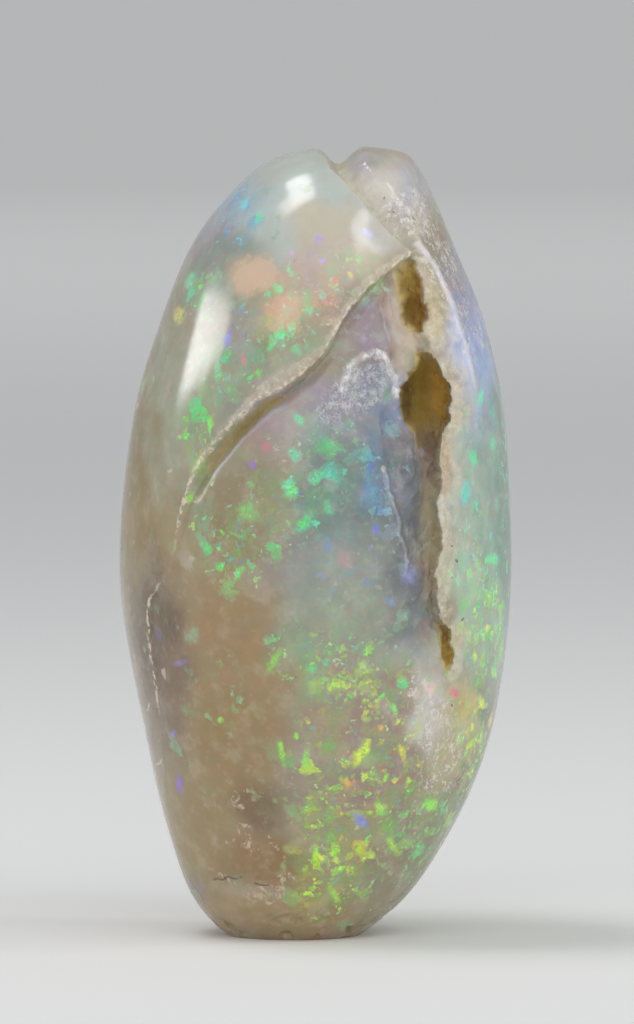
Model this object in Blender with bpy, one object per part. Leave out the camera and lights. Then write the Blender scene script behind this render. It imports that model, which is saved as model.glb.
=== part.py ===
"""Opalized clam fossil: two closed valves and the filling between them, turned to one mass of opal.

The fossil stands on its flat broken end. Its beaks are at the top, and the side that looks along -Y
shows the filling, bared between the broken margin of the left valve and the slot along the right one.
Lengths are in millimetres until the last step, which turns them into metres. +Z is up.
"""

import math

import bmesh
import bpy
import numpy as np
from mathutils import noise

MM = 0.001
TINY = 1e-9

# Driving dimensions
NAME = "opalized_clam"
HEIGHT = 40.1
CROWN = (1.7, -1.8)
ROOT = (-1.1, 0.0)
ROOT_DEPTH = 1.3
SQUARENESS = 2.1

# Level sections of the polished body: height, left, right, front, back
SECTIONS = (
    (0.0, -4.55, 2.25, -3.5, 3.6),
    (1.8, -6.20, 4.45, -5.4, 5.7),
    (4.8, -7.35, 6.65, -7.3, 7.8),
    (8.9, -8.40, 8.45, -9.0, 9.6),
    (14.0, -9.40, 9.60, -10.5, 10.9),
    (20.0, -9.95, 9.92, -11.3, 11.4),
    (26.2, -9.30, 9.55, -11.0, 10.7),
    (31.2, -7.95, 8.45, -10.0, 8.9),
    (35.3, -6.15, 6.87, -8.4, 6.6),
    (37.8, -4.20, 5.85, -6.8, 4.0),
    (39.2, -2.60, 5.05, -5.2, 1.9),
    (39.8, -1.15, 4.40, -3.9, 0.3),
)

# The cleft between the beaks runs up the front, over the crown and down the back as a seam.
# Each point: x, z, side (-1 front, 1 back), depth, reach to the left, reach to the right
CLEFT = (
    (5.05, 34.8, -1, 0.25, 0.5, 0.5),
    (4.3, 35.6, -1, 0.9, 0.5, 1.0),
    (3.0, 37.0, -1, 1.3, 0.5, 1.4),
    (1.9, 38.2, -1, 1.4, 0.5, 1.5),
    (1.05, 39.2, -1, 1.4, 0.6, 1.5),
    (1.0, 39.9, -1, 1.3, 0.8, 1.5),
    (1.1, 39.9, 1, 1.2, 0.9, 1.3),
    (1.1, 39.2, 1, 1.0, 0.8, 1.1),
    (1.1, 37.6, 1, 0.6, 0.6, 0.8),
    (0.9, 34.5, 1, 0.35, 0.6, 0.6),
    (0.5, 29.0, 1, 0.25, 0.5, 0.5),
    (0.0, 20.0, 1, 0.2, 0.5, 0.5),
    (-0.5, 10.0, 1, 0.2, 0.5, 0.5),
    (-1.0, 1.2, 1, 0.15, 0.4, 0.4),
)
CLEFT_POINTS_BEFORE_SEAM = 9

# The left valve's broken margin on the front: x, z, how far the filling lies below it, crevice depth
MARGIN = (
    (4.8, 34.9, 0.25, 0.1),
    (3.5, 34.0, 0.4, 0.15),
    (2.6, 33.3, 0.45, 0.15),
    (1.8, 32.4, 0.45, 0.15),
    (1.1, 31.4, 0.4, 0.15),
    (0.5, 30.3, 0.4, 0.2),
    (-0.3, 29.4, 0.4, 0.35),
    (-1.9, 28.2, 0.4, 0.6),
    (-2.9, 27.7, 0.4, 0.7),
    (-4.4, 26.3, 0.4, 0.7),
    (-5.7, 24.8, 0.35, 0.6),
    (-6.2, 23.9, 0.3, 0.35),
    (-6.6, 22.6, 0.15, 0.1),
    (-6.95, 20.8, 0.12, 0.0),
    (-7.3, 19.0, 0.12, 0.0),
    (-8.5, 17.4, 0.1, 0.0),
    (-8.6, 15.6, 0.08, 0.0),
    (-8.0, 10.8, 0.0, 0.0),
)
MARGIN_WALL = 0.4
CREVICE_FLOOR = 0.45
CREVICE_END = 0.95
SUNK_EVENLY = 1.0
SUNK_UNTIL = 7.0

# The slot between the filling and the right valve: height, left side, right side, depth
SLOT = (
    (13.5, 6.5, 6.6, 0.0),
    (14.0, 6.4, 6.75, 0.8),
    (14.7, 6.15, 6.9, 2.1),
    (15.6, 6.1, 6.9, 1.7),
    (16.4, 5.8, 6.35, 1.2),
    (17.3, 5.5, 6.1, 1.5),
    (19.2, 5.4, 6.0, 1.8),
    (20.4, 5.4, 6.3, 2.1),
    (22.2, 5.3, 5.95, 2.1),
    (23.2, 5.2, 6.25, 2.4),
    (24.8, 5.0, 6.2, 2.7),
    (25.9, 4.95, 6.3, 3.1),
    (26.5, 4.5, 6.7, 4.0),
    (27.3, 4.2, 6.75, 4.6),
    (28.1, 4.4, 6.8, 4.5),
    (28.8, 4.75, 6.4, 3.8),
    (29.5, 5.25, 6.05, 2.0),
    (30.1, 5.1, 5.8, 0.5),
    (30.8, 4.9, 5.6, 0.8),
    (31.5, 4.6, 5.55, 2.9),
    (32.1, 4.55, 5.65, 3.1),
    (33.1, 4.4, 5.4, 2.0),
    (34.1, 4.1, 5.15, 1.2),
    (34.7, 4.5, 4.95, 0.0),
)
SLOT_LEFT_WALL = 0.4
SLOT_RIGHT_WALL = 0.3
SLOT_BOWL = 0.25
FILLING_EDGE = (-0.1, 0.3)

# The filling slopes down into the slot from this line: height, x, depth at the slot
SLOPE = (
    (13.6, 6.2, 0.0),
    (15.5, 4.6, 0.35),
    (17.3, 4.2, 0.6),
    (19.2, 4.6, 0.7),
    (21.5, 4.1, 0.8),
    (23.2, 3.6, 0.9),
    (26.0, 3.1, 0.7),
    (28.5, 3.6, 0.3),
    (30.5, 4.2, 0.1),
)
SLOPE_LEAST_WIDTH = 0.2
SLOPE_BEND = 1.5

# The ridge on the right valve beside the slot: x, z
RIDGE = ((5.1, 35.0), (6.15, 33.0), (7.3, 30.0), (7.9, 27.2))
RIDGE_HEIGHT = 0.22
RIDGE_REACH = 0.7

# Shallow hollows of the front: x, z, half width, half height, depth
HOLLOWS = (
    (2.3, 28.2, 2.1, 1.7, 0.3),
    (6.3, 10.6, 1.6, 3.2, 0.22),
    (-2.3, 5.6, 3.4, 1.9, 0.28),
    (3.6, 36.0, 0.9, 0.8, 0.12),
)

# Broad lumps left by the polishing, which fade in above the foot
LUMP_HEIGHT = 0.16
LUMP_SIZE = 7.0
LUMP_FADE = (1.0, 5.0)

# How far a direction leans to the front where the front's reliefs fade in
FRONT_FADE = (0.05, 0.35)

# Triangle sizes
SMOOTH_EDGE = 2.6
FRONT_EDGE = 1.8
DETAIL_EDGE = 0.5
FOOT_EDGE = 0.8
LINE_BAND = 0.9
BALL_SUBDIVISIONS = 3
REFINING_ROUNDS = 7
RELAXING_ROUNDS = 3

# A vertex moves onto a line from this share of the longest edge, and keeps this share to the next
SNAP_SHARE = 0.45
SNAP_GAP = 0.3

# Short pieces of a fine line between two points of its table
STEPS = 6
FOOT_POINTS = 96

NORMAL_STEP = 1e-3
POLAR = 0.9
SHARP_ANGLE = math.radians(50.0)


def rise(low, high, value):
    """0 below low, 1 above high, and a smooth step between them."""
    t = np.clip((value - low) / (high - low), 0.0, 1.0)
    return t * t * (3.0 - 2.0 * t)


def curve(at, knots, values):
    """A smooth curve through the values at the knots, read at the given places."""
    knots, values = np.asarray(knots, float), np.asarray(values, float)
    slopes = np.gradient(values, knots)
    at = np.clip(at, knots[0], knots[-1])
    i = np.clip(np.searchsorted(knots, at) - 1, 0, len(knots) - 2)
    step = knots[i + 1] - knots[i]
    t = (at - knots[i]) / step
    near = (1 + 2 * t) * (1 - t) ** 2 * values[i] + t * (1 - t) ** 2 * step * slopes[i]
    far = t * t * (3 - 2 * t) * values[i + 1] + t * t * (t - 1) * step * slopes[i + 1]
    return near + far


def columns(table):
    """The columns of a table as arrays."""
    return np.array(table, float).T


def unit(vectors):
    """The vectors at length 1."""
    return vectors / np.linalg.norm(vectors, axis=1)[:, None]


def along_line(points, places, side_of=None):
    """Distance of each place from the line, the nearest point's number on it, and the side it is on."""
    nearest = np.full(len(places), np.inf)
    number = np.zeros(len(places))
    side = np.zeros(len(places))
    for i, (start, end) in enumerate(zip(points[:-1], points[1:])):
        run = end - start
        t = np.clip((places - start) @ run / max(run @ run, TINY), 0.0, 1.0)
        away = places - (start + t[:, None] * run)
        distance = np.linalg.norm(away, axis=1)
        closer = distance < nearest
        nearest[closer] = distance[closer]
        number[closer] = i + t[closer]
        if side_of:
            side[closer] = side_of(away, run)[closer]
    return nearest, number, side


def read_at(number, values):
    """Values of a table's rows, read between them at the given row numbers."""
    return np.interp(number, np.arange(len(values)), values)


def section_sides(latitude):
    """Left, right, front and back of the level section at each latitude."""
    low, high = -ROOT_DEPTH, HEIGHT
    middle, half = (low + high) / 2, (high - low) / 2
    heights, *sides = columns(SECTIONS)
    knots = np.arcsin(np.concatenate([[-1.0], (heights - middle) / half, [1.0]]))
    ends = zip((0, 0, 1, 1), sides)
    return [curve(latitude, knots, [ROOT[axis], *side, CROWN[axis]]) for axis, side in ends]


def polished_body(directions):
    """Each unit direction's place on the smooth body: a stack of rounded sections."""
    latitude = np.arcsin(np.clip(directions[:, 2], -1.0, 1.0))
    left, right, front, back = section_sides(latitude)
    turn = np.arctan2(directions[:, 1], directions[:, 0])
    across, deep = np.cos(turn), np.sin(turn)
    reach = np.abs(across) ** SQUARENESS + np.abs(deep) ** SQUARENESS
    reach = reach ** (-1.0 / SQUARENESS)
    x = (left + right) / 2 + (right - left) / 2 * reach * across
    y = (front + back) / 2 + (back - front) / 2 * reach * deep
    z = (HEIGHT - ROOT_DEPTH) / 2 + (HEIGHT + ROOT_DEPTH) / 2 * np.sin(latitude)
    return np.column_stack([x, y, z])


def on_body(x, z, side):
    """The place on the body at this x and z, on the front (side -1) or the back (side 1)."""
    latitude = np.arcsin((2 * z - HEIGHT + ROOT_DEPTH) / (HEIGHT + ROOT_DEPTH))
    left, right, front, back = section_sides(latitude)
    across = np.abs((2 * x - left - right) / np.maximum(right - left, TINY))
    deep = (1.0 - np.minimum(across, 1.0) ** SQUARENESS) ** (1.0 / SQUARENESS)
    y = (front + back) / 2 + side * (back - front) / 2 * deep
    return np.column_stack([x, y, z])


def direction_of(places):
    """The unit direction that leads to each place on the body."""
    level = (2 * places[:, 2] - HEIGHT + ROOT_DEPTH) / (HEIGHT + ROOT_DEPTH)
    latitude = np.arcsin(np.clip(level, -1.0, 1.0))
    left, right, front, back = section_sides(latitude)
    across = (2 * places[:, 0] - left - right) / np.maximum(right - left, TINY)
    deep = (2 * places[:, 1] - front - back) / np.maximum(back - front, TINY)
    turn = np.arctan2(deep, across)
    flat = np.cos(latitude)
    return np.column_stack([flat * np.cos(turn), flat * np.sin(turn), np.sin(latitude)])


def outward(directions):
    """The body's outward normals, from two short steps on the surface."""
    polar = np.abs(directions[:, 2:]) > POLAR
    helper = np.where(polar, (1.0, 0.0, 0.0), (0.0, 0.0, 1.0))
    east = unit(np.cross(helper, directions))
    north = np.cross(directions, east)
    here = polished_body(directions)
    to_east = polished_body(unit(directions + NORMAL_STEP * east)) - here
    to_north = polished_body(unit(directions + NORMAL_STEP * north)) - here
    return unit(np.cross(to_east, to_north))


def drawn(x, z, side):
    """A fine line on the body through the points, with STEPS short pieces between two of them."""
    directions = direction_of(on_body(x, z, side))
    last = len(directions) - 1
    number = np.linspace(0, last, STEPS * last + 1)
    fine = np.column_stack([read_at(number, row) for row in directions.T])
    return polished_body(unit(fine))


def on_front(x, z):
    """A fine line on the front."""
    return drawn(x, z, np.full(len(x), -1.0))


def beside(line, reach):
    """The line moved sideways on the body, to its right where the reach is positive."""
    right = unit(np.cross(np.gradient(line, axis=0), outward(direction_of(line))))
    return polished_body(direction_of(line + np.reshape(reach, (-1, 1)) * right))


def foot_line():
    """The outline of the flat foot."""
    turn = np.linspace(0.0, 2.0 * math.pi, FOOT_POINTS + 1)
    level = (ROOT_DEPTH - HEIGHT) / (HEIGHT + ROOT_DEPTH)
    flat = math.sqrt(1.0 - level**2)
    height = np.full(len(turn), level)
    return polished_body(np.column_stack([flat * np.cos(turn), flat * np.sin(turn), height]))


def fine_lines():
    """Lines on the body that get a row of vertices, and the longest edge near each."""
    cleft_x, cleft_z, cleft_side, _, left_reach, _ = columns(CLEFT)
    cleft = drawn(cleft_x, cleft_z, cleft_side)[: STEPS * CLEFT_POINTS_BEFORE_SEAM]
    reach = read_at(np.arange(len(cleft)) / STEPS, left_reach)
    x, z, _, crevice = columns(MARGIN)
    margin = on_front(x, z)
    crevice_end = STEPS * (np.flatnonzero(crevice)[-1] + 1)
    lines = [cleft, beside(cleft, -reach), margin, beside(margin[:crevice_end], CREVICE_FLOOR)]
    height, left, right, _ = columns(SLOT)
    for across in (left, (left + right) / 2, right):
        lines.append(on_front(across, height))
    return [(line, DETAIL_EDGE) for line in lines] + [(foot_line(), FOOT_EDGE)]


def cleft_depth(places, normals):
    """Depth of the cleft between the beaks, and of the seam that it becomes down the back."""
    x, z, sides, depth, left_reach, right_reach = columns(CLEFT)

    def to_the_right(away, run):
        return np.sign(np.einsum("ij,ij->i", away, np.cross(run, normals)))

    distance, number, side = along_line(drawn(x, z, sides), places, to_the_right)
    number = number / STEPS
    reach = np.where(side > 0, read_at(number, right_reach), read_at(number, left_reach))
    return read_at(number, depth) * (1.0 - rise(0.0, 1.0, distance / reach))


def margin_depth(x, z):
    """How far the filling lies under the left valve's broken margin, with the crevice along it."""
    line_x, line_z, sunk, crevice = columns(MARGIN)

    def below(away, run):
        return np.sign(away[:, 1] * run[0] - away[:, 0] * run[1])

    line = np.column_stack([line_x, line_z])
    distance, number, side = along_line(line, np.column_stack([x, z]), below)
    signed = distance * side
    step = read_at(number, sunk) * (1.0 - rise(SUNK_EVENLY, SUNK_UNTIL, signed))
    groove = read_at(number, crevice) * (1.0 - rise(CREVICE_FLOOR, CREVICE_END, signed))
    height, _, slot_right, _ = columns(SLOT)
    filling = 1.0 - rise(*FILLING_EDGE, x - np.interp(z, height, slot_right))
    return rise(0.0, MARGIN_WALL, signed) * (step + groove) * filling


def slot_depth(x, z):
    """Depth of the slot with its holes, and of the slope of the filling that leads into it."""
    height, *sides = columns(SLOT)
    left, right, depth = (np.interp(z, height, row) for row in sides)
    slope_height, *slope = columns(SLOPE)
    line, drop = (np.interp(z, slope_height, row) for row in slope)
    before = rise(0.0, SLOT_LEFT_WALL, x - left)
    after = rise(0.0, SLOT_RIGHT_WALL, right - x)
    off_middle = np.clip((2 * x - left - right) / (right - left), -1.0, 1.0)
    bowl = 1.0 - SLOT_BOWL * off_middle**2
    run_in = np.clip((x - line) / np.maximum(left - line, SLOPE_LEAST_WIDTH), 0.0, 1.0)
    return depth * before * after * bowl + drop * run_in**SLOPE_BEND * after


def ridge_height(x, z):
    """Height of the ridge that runs down the right valve beside the slot."""
    distance, _, _ = along_line(np.array(RIDGE), np.column_stack([x, z]))
    return RIDGE_HEIGHT * np.exp(-((distance / RIDGE_REACH) ** 2))


def hollow_depth(x, z):
    """Depth of the shallow hollows."""
    total = np.zeros(len(x))
    for at_x, at_z, wide, tall, depth in HOLLOWS:
        total += depth * np.exp(-(((x - at_x) / wide) ** 2) - ((z - at_z) / tall) ** 2)
    return total


def fossil_surface(directions):
    """Places on the finished surface."""
    body = polished_body(directions)
    normals = outward(directions)
    x, z = body[:, 0], body[:, 2]
    front = rise(*FRONT_FADE, -directions[:, 1])
    lumps = LUMP_HEIGHT * np.array([noise.noise(place / LUMP_SIZE) for place in body])
    inward = cleft_depth(body, normals) - lumps * rise(*LUMP_FADE, z)
    inward += front * (margin_depth(x, z) + hollow_depth(x, z) - ridge_height(x, z))
    places = body - normals * inward[:, None]
    places[:, 1] += front * slot_depth(x, z)
    return places


def wanted_edge(places, lines):
    """The longest edge allowed at each place: short along the fine lines."""
    edge = np.where(places[:, 1] < 0.0, FRONT_EDGE, SMOOTH_EDGE)
    for line, fine in lines:
        distance, _, _ = along_line(line, places)
        edge = np.where(distance < LINE_BAND, np.minimum(fine, edge), edge)
    return edge


def directions_in(ball):
    """The unit directions of a ball's vertices."""
    return np.array([v.co.normalized() for v in ball.verts])


def refine(ball, lines):
    """Halve the ball's edges until those on the body are short enough."""
    for _ in range(REFINING_ROUNDS):
        places = polished_body(directions_in(ball))
        wanted = wanted_edge(places, lines)
        ball.verts.index_update()
        long_edges = []
        for edge in ball.edges:
            a, b = (v.index for v in edge.verts)
            if np.linalg.norm(places[a] - places[b]) > min(wanted[a], wanted[b]):
                long_edges.append(edge)
        if not long_edges:
            break
        bmesh.ops.subdivide_edges(ball, edges=long_edges, cuts=1)
        bmesh.ops.triangulate(ball, faces=ball.faces[:])
        for vert in ball.verts:
            vert.co.normalize()


def relax(ball, free):
    """Even out the ball's triangles by moving its free vertices."""
    for _ in range(RELAXING_ROUNDS):
        bmesh.ops.smooth_vert(
            ball, verts=free, factor=0.5, use_axis_x=True, use_axis_y=True, use_axis_z=True
        )
        for vert in free:
            vert.co.normalize()
        bmesh.ops.beautify_fill(ball, faces=ball.faces[:], edges=ball.edges[:], method="ANGLE")


def snap(ball, lines):
    """Move the vertices that lie close to a line onto it, the closest first, and list the others."""
    places = polished_body(directions_in(ball))
    nearest = np.full(len(places), np.inf)
    gap = np.zeros(len(places))
    target = places.copy()
    for line, fine in lines:
        distance, number, _ = along_line(line, places)
        spots = np.column_stack([read_at(number, row) for row in line.T])
        close = (distance < SNAP_SHARE * fine) & (distance < nearest)
        nearest[close] = distance[close]
        gap[close] = SNAP_GAP * fine
        target[close] = spots[close]
    ball.verts.ensure_lookup_table()
    free = dict.fromkeys(ball.verts)
    taken = []
    for index in np.argsort(nearest)[: np.isfinite(nearest).sum()]:
        spot = target[index]
        if taken and np.linalg.norm(np.array(taken) - spot, axis=1).min() < gap[index]:
            continue
        taken.append(spot)
        ball.verts[index].co = direction_of(spot[None])[0]
        del free[ball.verts[index]]
    return list(free)


def round_mesh():
    """A ball of unit directions with short edges and rows of vertices where there is detail."""
    ball = bmesh.new()
    bmesh.ops.create_icosphere(ball, subdivisions=BALL_SUBDIVISIONS, radius=1.0)
    lines = fine_lines()
    refine(ball, lines)
    relax(ball, ball.verts[:])
    relax(ball, snap(ball, lines))
    return ball


def cut_foot(shape):
    """Cut the shape off flat at z = 0."""
    cut = bmesh.ops.bisect_plane(
        shape,
        geom=shape.verts[:] + shape.edges[:] + shape.faces[:],
        dist=1e-7,
        plane_co=(0.0, 0.0, 0.0),
        plane_no=(0.0, 0.0, -1.0),
        clear_outer=True,
    )
    rim = [item for item in cut["geom_cut"] if isinstance(item, bmesh.types.BMEdge)]
    bmesh.ops.edgeloop_fill(shape, edges=rim)
    bmesh.ops.triangulate(shape, faces=shape.faces[:])
    bmesh.ops.recalc_face_normals(shape, faces=shape.faces[:])


def opal_material():
    """Milky polished opal."""
    material = bpy.data.materials.new("milky_opal")
    material.use_nodes = True
    shader = material.node_tree.nodes["Principled BSDF"]
    shader.inputs["Base Color"].default_value = (0.42, 0.41, 0.35, 1.0)
    shader.inputs["Roughness"].default_value = 0.18
    shader.inputs["Metallic"].default_value = 0.0
    shader.inputs["Subsurface Weight"].default_value = 0.4
    return material


def build_fossil(collection):
    """The whole fossil as one closed solid with a flat foot at z = 0."""
    shape = round_mesh()
    for vert, place in zip(shape.verts, fossil_surface(directions_in(shape))):
        vert.co = place * MM
    cut_foot(shape)
    mesh = bpy.data.meshes.new(NAME)
    shape.to_mesh(mesh)
    shape.free()
    mesh.shade_smooth()
    mesh.set_sharp_from_angle(angle=SHARP_ANGLE)
    mesh.materials.append(opal_material())
    fossil = bpy.data.objects.new(NAME, mesh)
    collection.objects.link(fossil)
    return fossil


def main():
    for old in list(bpy.data.objects):
        bpy.data.objects.remove(old)
    collection = bpy.data.collections.new("opalized_clam_fossil")
    bpy.context.scene.collection.children.link(collection)
    build_fossil(collection)


main()
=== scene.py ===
"""Opalized clam fossil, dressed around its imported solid, on a pale studio sweep.

Shapes are worked out in millimetres on the polished body and set in metres at the end. The side with
the slot looks along -Y, the beaks are at the top, and +Z is up.
"""

import math

import bmesh
import bpy
import numpy as np
from mathutils import Euler, Matrix, Vector, noise


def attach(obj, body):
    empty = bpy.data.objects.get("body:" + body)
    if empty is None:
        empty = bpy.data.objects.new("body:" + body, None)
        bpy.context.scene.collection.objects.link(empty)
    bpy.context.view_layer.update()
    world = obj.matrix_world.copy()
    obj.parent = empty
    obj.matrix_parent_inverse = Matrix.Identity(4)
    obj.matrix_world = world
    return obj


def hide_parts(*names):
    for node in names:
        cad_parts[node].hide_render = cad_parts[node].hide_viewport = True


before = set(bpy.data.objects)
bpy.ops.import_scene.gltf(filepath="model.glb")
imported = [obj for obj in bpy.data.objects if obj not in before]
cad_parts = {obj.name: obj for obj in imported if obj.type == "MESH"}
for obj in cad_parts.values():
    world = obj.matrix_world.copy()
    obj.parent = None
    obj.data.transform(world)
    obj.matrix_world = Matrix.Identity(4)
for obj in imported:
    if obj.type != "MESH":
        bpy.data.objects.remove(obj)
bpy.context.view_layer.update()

# Polished body
# The clam was ground and polished as one lump of opal, with both valves closed. Its body is a stack of
# rounded level sections between a narrow broken end at the bottom and the two beaks at the top.
HEIGHT = 40.1
CROWN = (1.7, -1.8)
ROOT = (-1.1, 0.0)
ROOT_DEPTH = 1.3
SQUARENESS = 2.1

# height, left, right, front, back
SECTIONS = (
    (0.0, -4.55, 2.25, -3.5, 3.6),
    (1.8, -6.2, 4.45, -5.4, 5.7),
    (4.8, -7.35, 6.65, -7.3, 7.8),
    (8.9, -8.4, 8.45, -9.0, 9.6),
    (14.0, -9.4, 9.6, -10.5, 10.9),
    (20.0, -9.95, 9.92, -11.3, 11.4),
    (26.2, -9.3, 9.55, -11.0, 10.7),
    (31.2, -7.95, 8.45, -10.0, 8.9),
    (35.3, -6.15, 6.87, -8.4, 6.6),
    (37.8, -4.2, 5.85, -6.8, 4.0),
    (39.2, -2.6, 5.05, -5.2, 1.9),
    (39.8, -1.15, 4.4, -3.9, 0.3),
)


def rise(low, high, value):
    """0 below low, 1 above high, and a smooth step between them."""
    t = np.clip((value - low) / (high - low), 0.0, 1.0)
    return t * t * (3.0 - 2.0 * t)


def between(span, value):
    """1 between the span's middle two numbers, 0 outside its outer two, and smooth on both sides."""
    low, full, still, high = span
    return rise(low, full, value) * (1.0 - rise(still, high, value))


def curve(at, knots, values):
    """A smooth curve through the values at the knots, read at the given places."""
    knots, values = np.asarray(knots, float), np.asarray(values, float)
    slopes = np.gradient(values, knots)
    at = np.clip(at, knots[0], knots[-1])
    i = np.clip(np.searchsorted(knots, at) - 1, 0, len(knots) - 2)
    step = knots[i + 1] - knots[i]
    t = (at - knots[i]) / step
    near = (1 + 2 * t) * (1 - t) ** 2 * values[i] + t * (1 - t) ** 2 * step * slopes[i]
    far = t * t * (3 - 2 * t) * values[i + 1] + t * t * (t - 1) * step * slopes[i + 1]
    return near + far


def columns(table):
    """The columns of a table as arrays."""
    return np.array(table, float).T


def unit(vectors):
    """The vectors at length 1."""
    return vectors / np.linalg.norm(vectors, axis=1)[:, None]


def section_sides(latitude):
    """Left, right, front and back of the level section at each latitude."""
    low, high = -ROOT_DEPTH, HEIGHT
    middle, half = (low + high) / 2, (high - low) / 2
    heights, *sides = columns(SECTIONS)
    knots = np.arcsin(np.concatenate([[-1.0], (heights - middle) / half, [1.0]]))
    ends = zip((0, 0, 1, 1), sides)
    return [curve(latitude, knots, [ROOT[axis], *side, CROWN[axis]]) for axis, side in ends]


def polished_body(directions):
    """Each unit direction's place on the smooth body."""
    latitude = np.arcsin(np.clip(directions[:, 2], -1.0, 1.0))
    left, right, front, back = section_sides(latitude)
    turn = np.arctan2(directions[:, 1], directions[:, 0])
    across, deep = np.cos(turn), np.sin(turn)
    reach = np.abs(across) ** SQUARENESS + np.abs(deep) ** SQUARENESS
    reach = reach ** (-1.0 / SQUARENESS)
    x = (left + right) / 2 + (right - left) / 2 * reach * across
    y = (front + back) / 2 + (back - front) / 2 * reach * deep
    z = (HEIGHT - ROOT_DEPTH) / 2 + (HEIGHT + ROOT_DEPTH) / 2 * np.sin(latitude)
    return np.column_stack([x, y, z])


def outward(directions):
    """The body's outward normals, from two short steps on the surface."""
    polar = np.abs(directions[:, 2:]) > 0.9
    helper = np.where(polar, (1.0, 0.0, 0.0), (0.0, 0.0, 1.0))
    east = unit(np.cross(helper, directions))
    north = np.cross(directions, east)
    here = polished_body(directions)
    to_east = polished_body(unit(directions + 1e-3 * east)) - here
    to_north = polished_body(unit(directions + 1e-3 * north)) - here
    return unit(np.cross(to_east, to_north))


def grain(places, size, turn=0):
    """Soft noise from -1 to 1 at each place, with lumps of the given size."""
    shift = Vector((17.3, 5.9, 41.7)) * turn
    return np.array([noise.noise(Vector(place) / size + shift) for place in places])


def broken(places, size, turn=0):
    """Rough broken stone from -1 to 1: noise with finer noise on it."""
    shift = Vector((9.1, 33.3, 3.7)) * turn
    return np.array([noise.fractal(Vector(place) / size + shift, 0.7, 2.1, 4) for place in places])


def crystals(places, size):
    """Facets from 0 at the seams between neighbouring crystals to about 1 inside them."""
    near = [noise.voronoi(Vector(place) / size)[0] for place in places]
    return np.array([found[1] - found[0] for found in near])


def oval(x, z, spot, inner=0.35, outer=1.0):
    """1 in the middle of an oval spot, 0 outside. A spot: x, z, half width, half height, lean."""
    at_x, at_z, wide, tall, lean = spot
    across = (x - at_x) * math.cos(lean) + (z - at_z) * math.sin(lean)
    along = (z - at_z) * math.cos(lean) - (x - at_x) * math.sin(lean)
    return 1.0 - rise(inner, outer, np.hypot(across / wide, along / tall))


def along_line(points, places, side_of=None):
    """Distance of each place from the line, the nearest point's number on it, and the side it is on."""
    nearest = np.full(len(places), np.inf)
    number = np.zeros(len(places))
    side = np.zeros(len(places))
    for i, (start, end) in enumerate(zip(points[:-1], points[1:])):
        run = end - start
        t = np.clip((places - start) @ run / max(run @ run, 1e-9), 0.0, 1.0)
        away = places - (start + t[:, None] * run)
        distance = np.linalg.norm(away, axis=1)
        closer = distance < nearest
        nearest[closer] = distance[closer]
        number[closer] = i + t[closer]
        if side_of:
            side[closer] = side_of(away, run)[closer]
    return nearest, number, side


def near_line(table, x, z, side_of=None):
    """The same for a line on the front, whose x and z are the first two columns of a table."""
    points = np.array([row[:2] for row in table])
    return along_line(points, np.column_stack([x, z]), side_of)


def read_at(number, values):
    """Values of a table's rows, read between them at the given row numbers."""
    return np.interp(number, np.arange(len(values)), values)


# Cleft between the beaks
# The two valves meet in an open groove over the crown, which runs down the back as a fine seam. Its
# left wall is the clean edge of the left beak, and its floor is khaki matrix that was never polished.

# x, z, side (-1 front, 1 back), depth, reach to the left, reach to the right
CLEFT = (
    (5.05, 34.8, -1, 0.25, 0.35, 0.5),
    (4.3, 35.6, -1, 0.8, 0.3, 1.3),
    (3.0, 37.0, -1, 1.05, 0.3, 2.0),
    (1.9, 38.2, -1, 1.1, 0.3, 1.9),
    (1.05, 39.2, -1, 1.0, 0.45, 1.7),
    (1.0, 39.9, -1, 0.95, 1.0, 1.5),
    (1.1, 39.9, 1, 0.9, 1.1, 1.3),
    (1.1, 39.2, 1, 0.8, 1.0, 1.1),
    (1.1, 37.6, 1, 0.6, 0.6, 0.8),
    (0.9, 34.5, 1, 0.35, 0.6, 0.6),
    (0.5, 29.0, 1, 0.25, 0.5, 0.5),
    (0.0, 20.0, 1, 0.2, 0.5, 0.5),
    (-0.5, 10.0, 1, 0.2, 0.5, 0.5),
    (-1.0, 1.2, 1, 0.15, 0.4, 0.4),
)
CLEFT_STEPS = 6


def cleft_line():
    """The cleft as a fine line of places on the body."""
    x, z, side, *_ = columns(CLEFT)
    level = (2 * z - HEIGHT + ROOT_DEPTH) / (HEIGHT + ROOT_DEPTH)
    latitude = np.arcsin(level)
    left, right, _, _ = section_sides(latitude)
    across = (2 * x - left - right) / np.maximum(right - left, 1e-9)
    deep = side * (1.0 - np.minimum(np.abs(across), 1.0) ** SQUARENESS) ** (1.0 / SQUARENESS)
    turn = np.arctan2(deep, across)
    directions = (np.cos(latitude) * np.cos(turn), np.cos(latitude) * np.sin(turn), level)
    last = len(CLEFT) - 1
    number = np.linspace(0, last, CLEFT_STEPS * last + 1)
    return polished_body(unit(np.column_stack([read_at(number, row) for row in directions])))


def cleft(places, normals):
    """Depth of the cleft at each place, and how near its floor the place is."""
    _, _, _, depth, left_reach, right_reach = columns(CLEFT)

    def to_the_right(away, run):
        return np.sign(np.einsum("ij,ij->i", away, np.cross(run, normals)))

    distance, number, side = along_line(cleft_line(), places, to_the_right)
    number = number / CLEFT_STEPS
    reach = np.where(side > 0, read_at(number, right_reach), read_at(number, left_reach))
    inside = 1.0 - rise(0.0, 1.0, distance / reach)
    return read_at(number, depth) * inside, inside * rise(0.2, 0.9, read_at(number, depth))


# Broken margin of the left valve
# The left valve ends in a chipped cream edge that runs from the cleft down across the front. The
# filling lies a little lower under it, and along part of it a crevice of khaki matrix is open.

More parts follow.
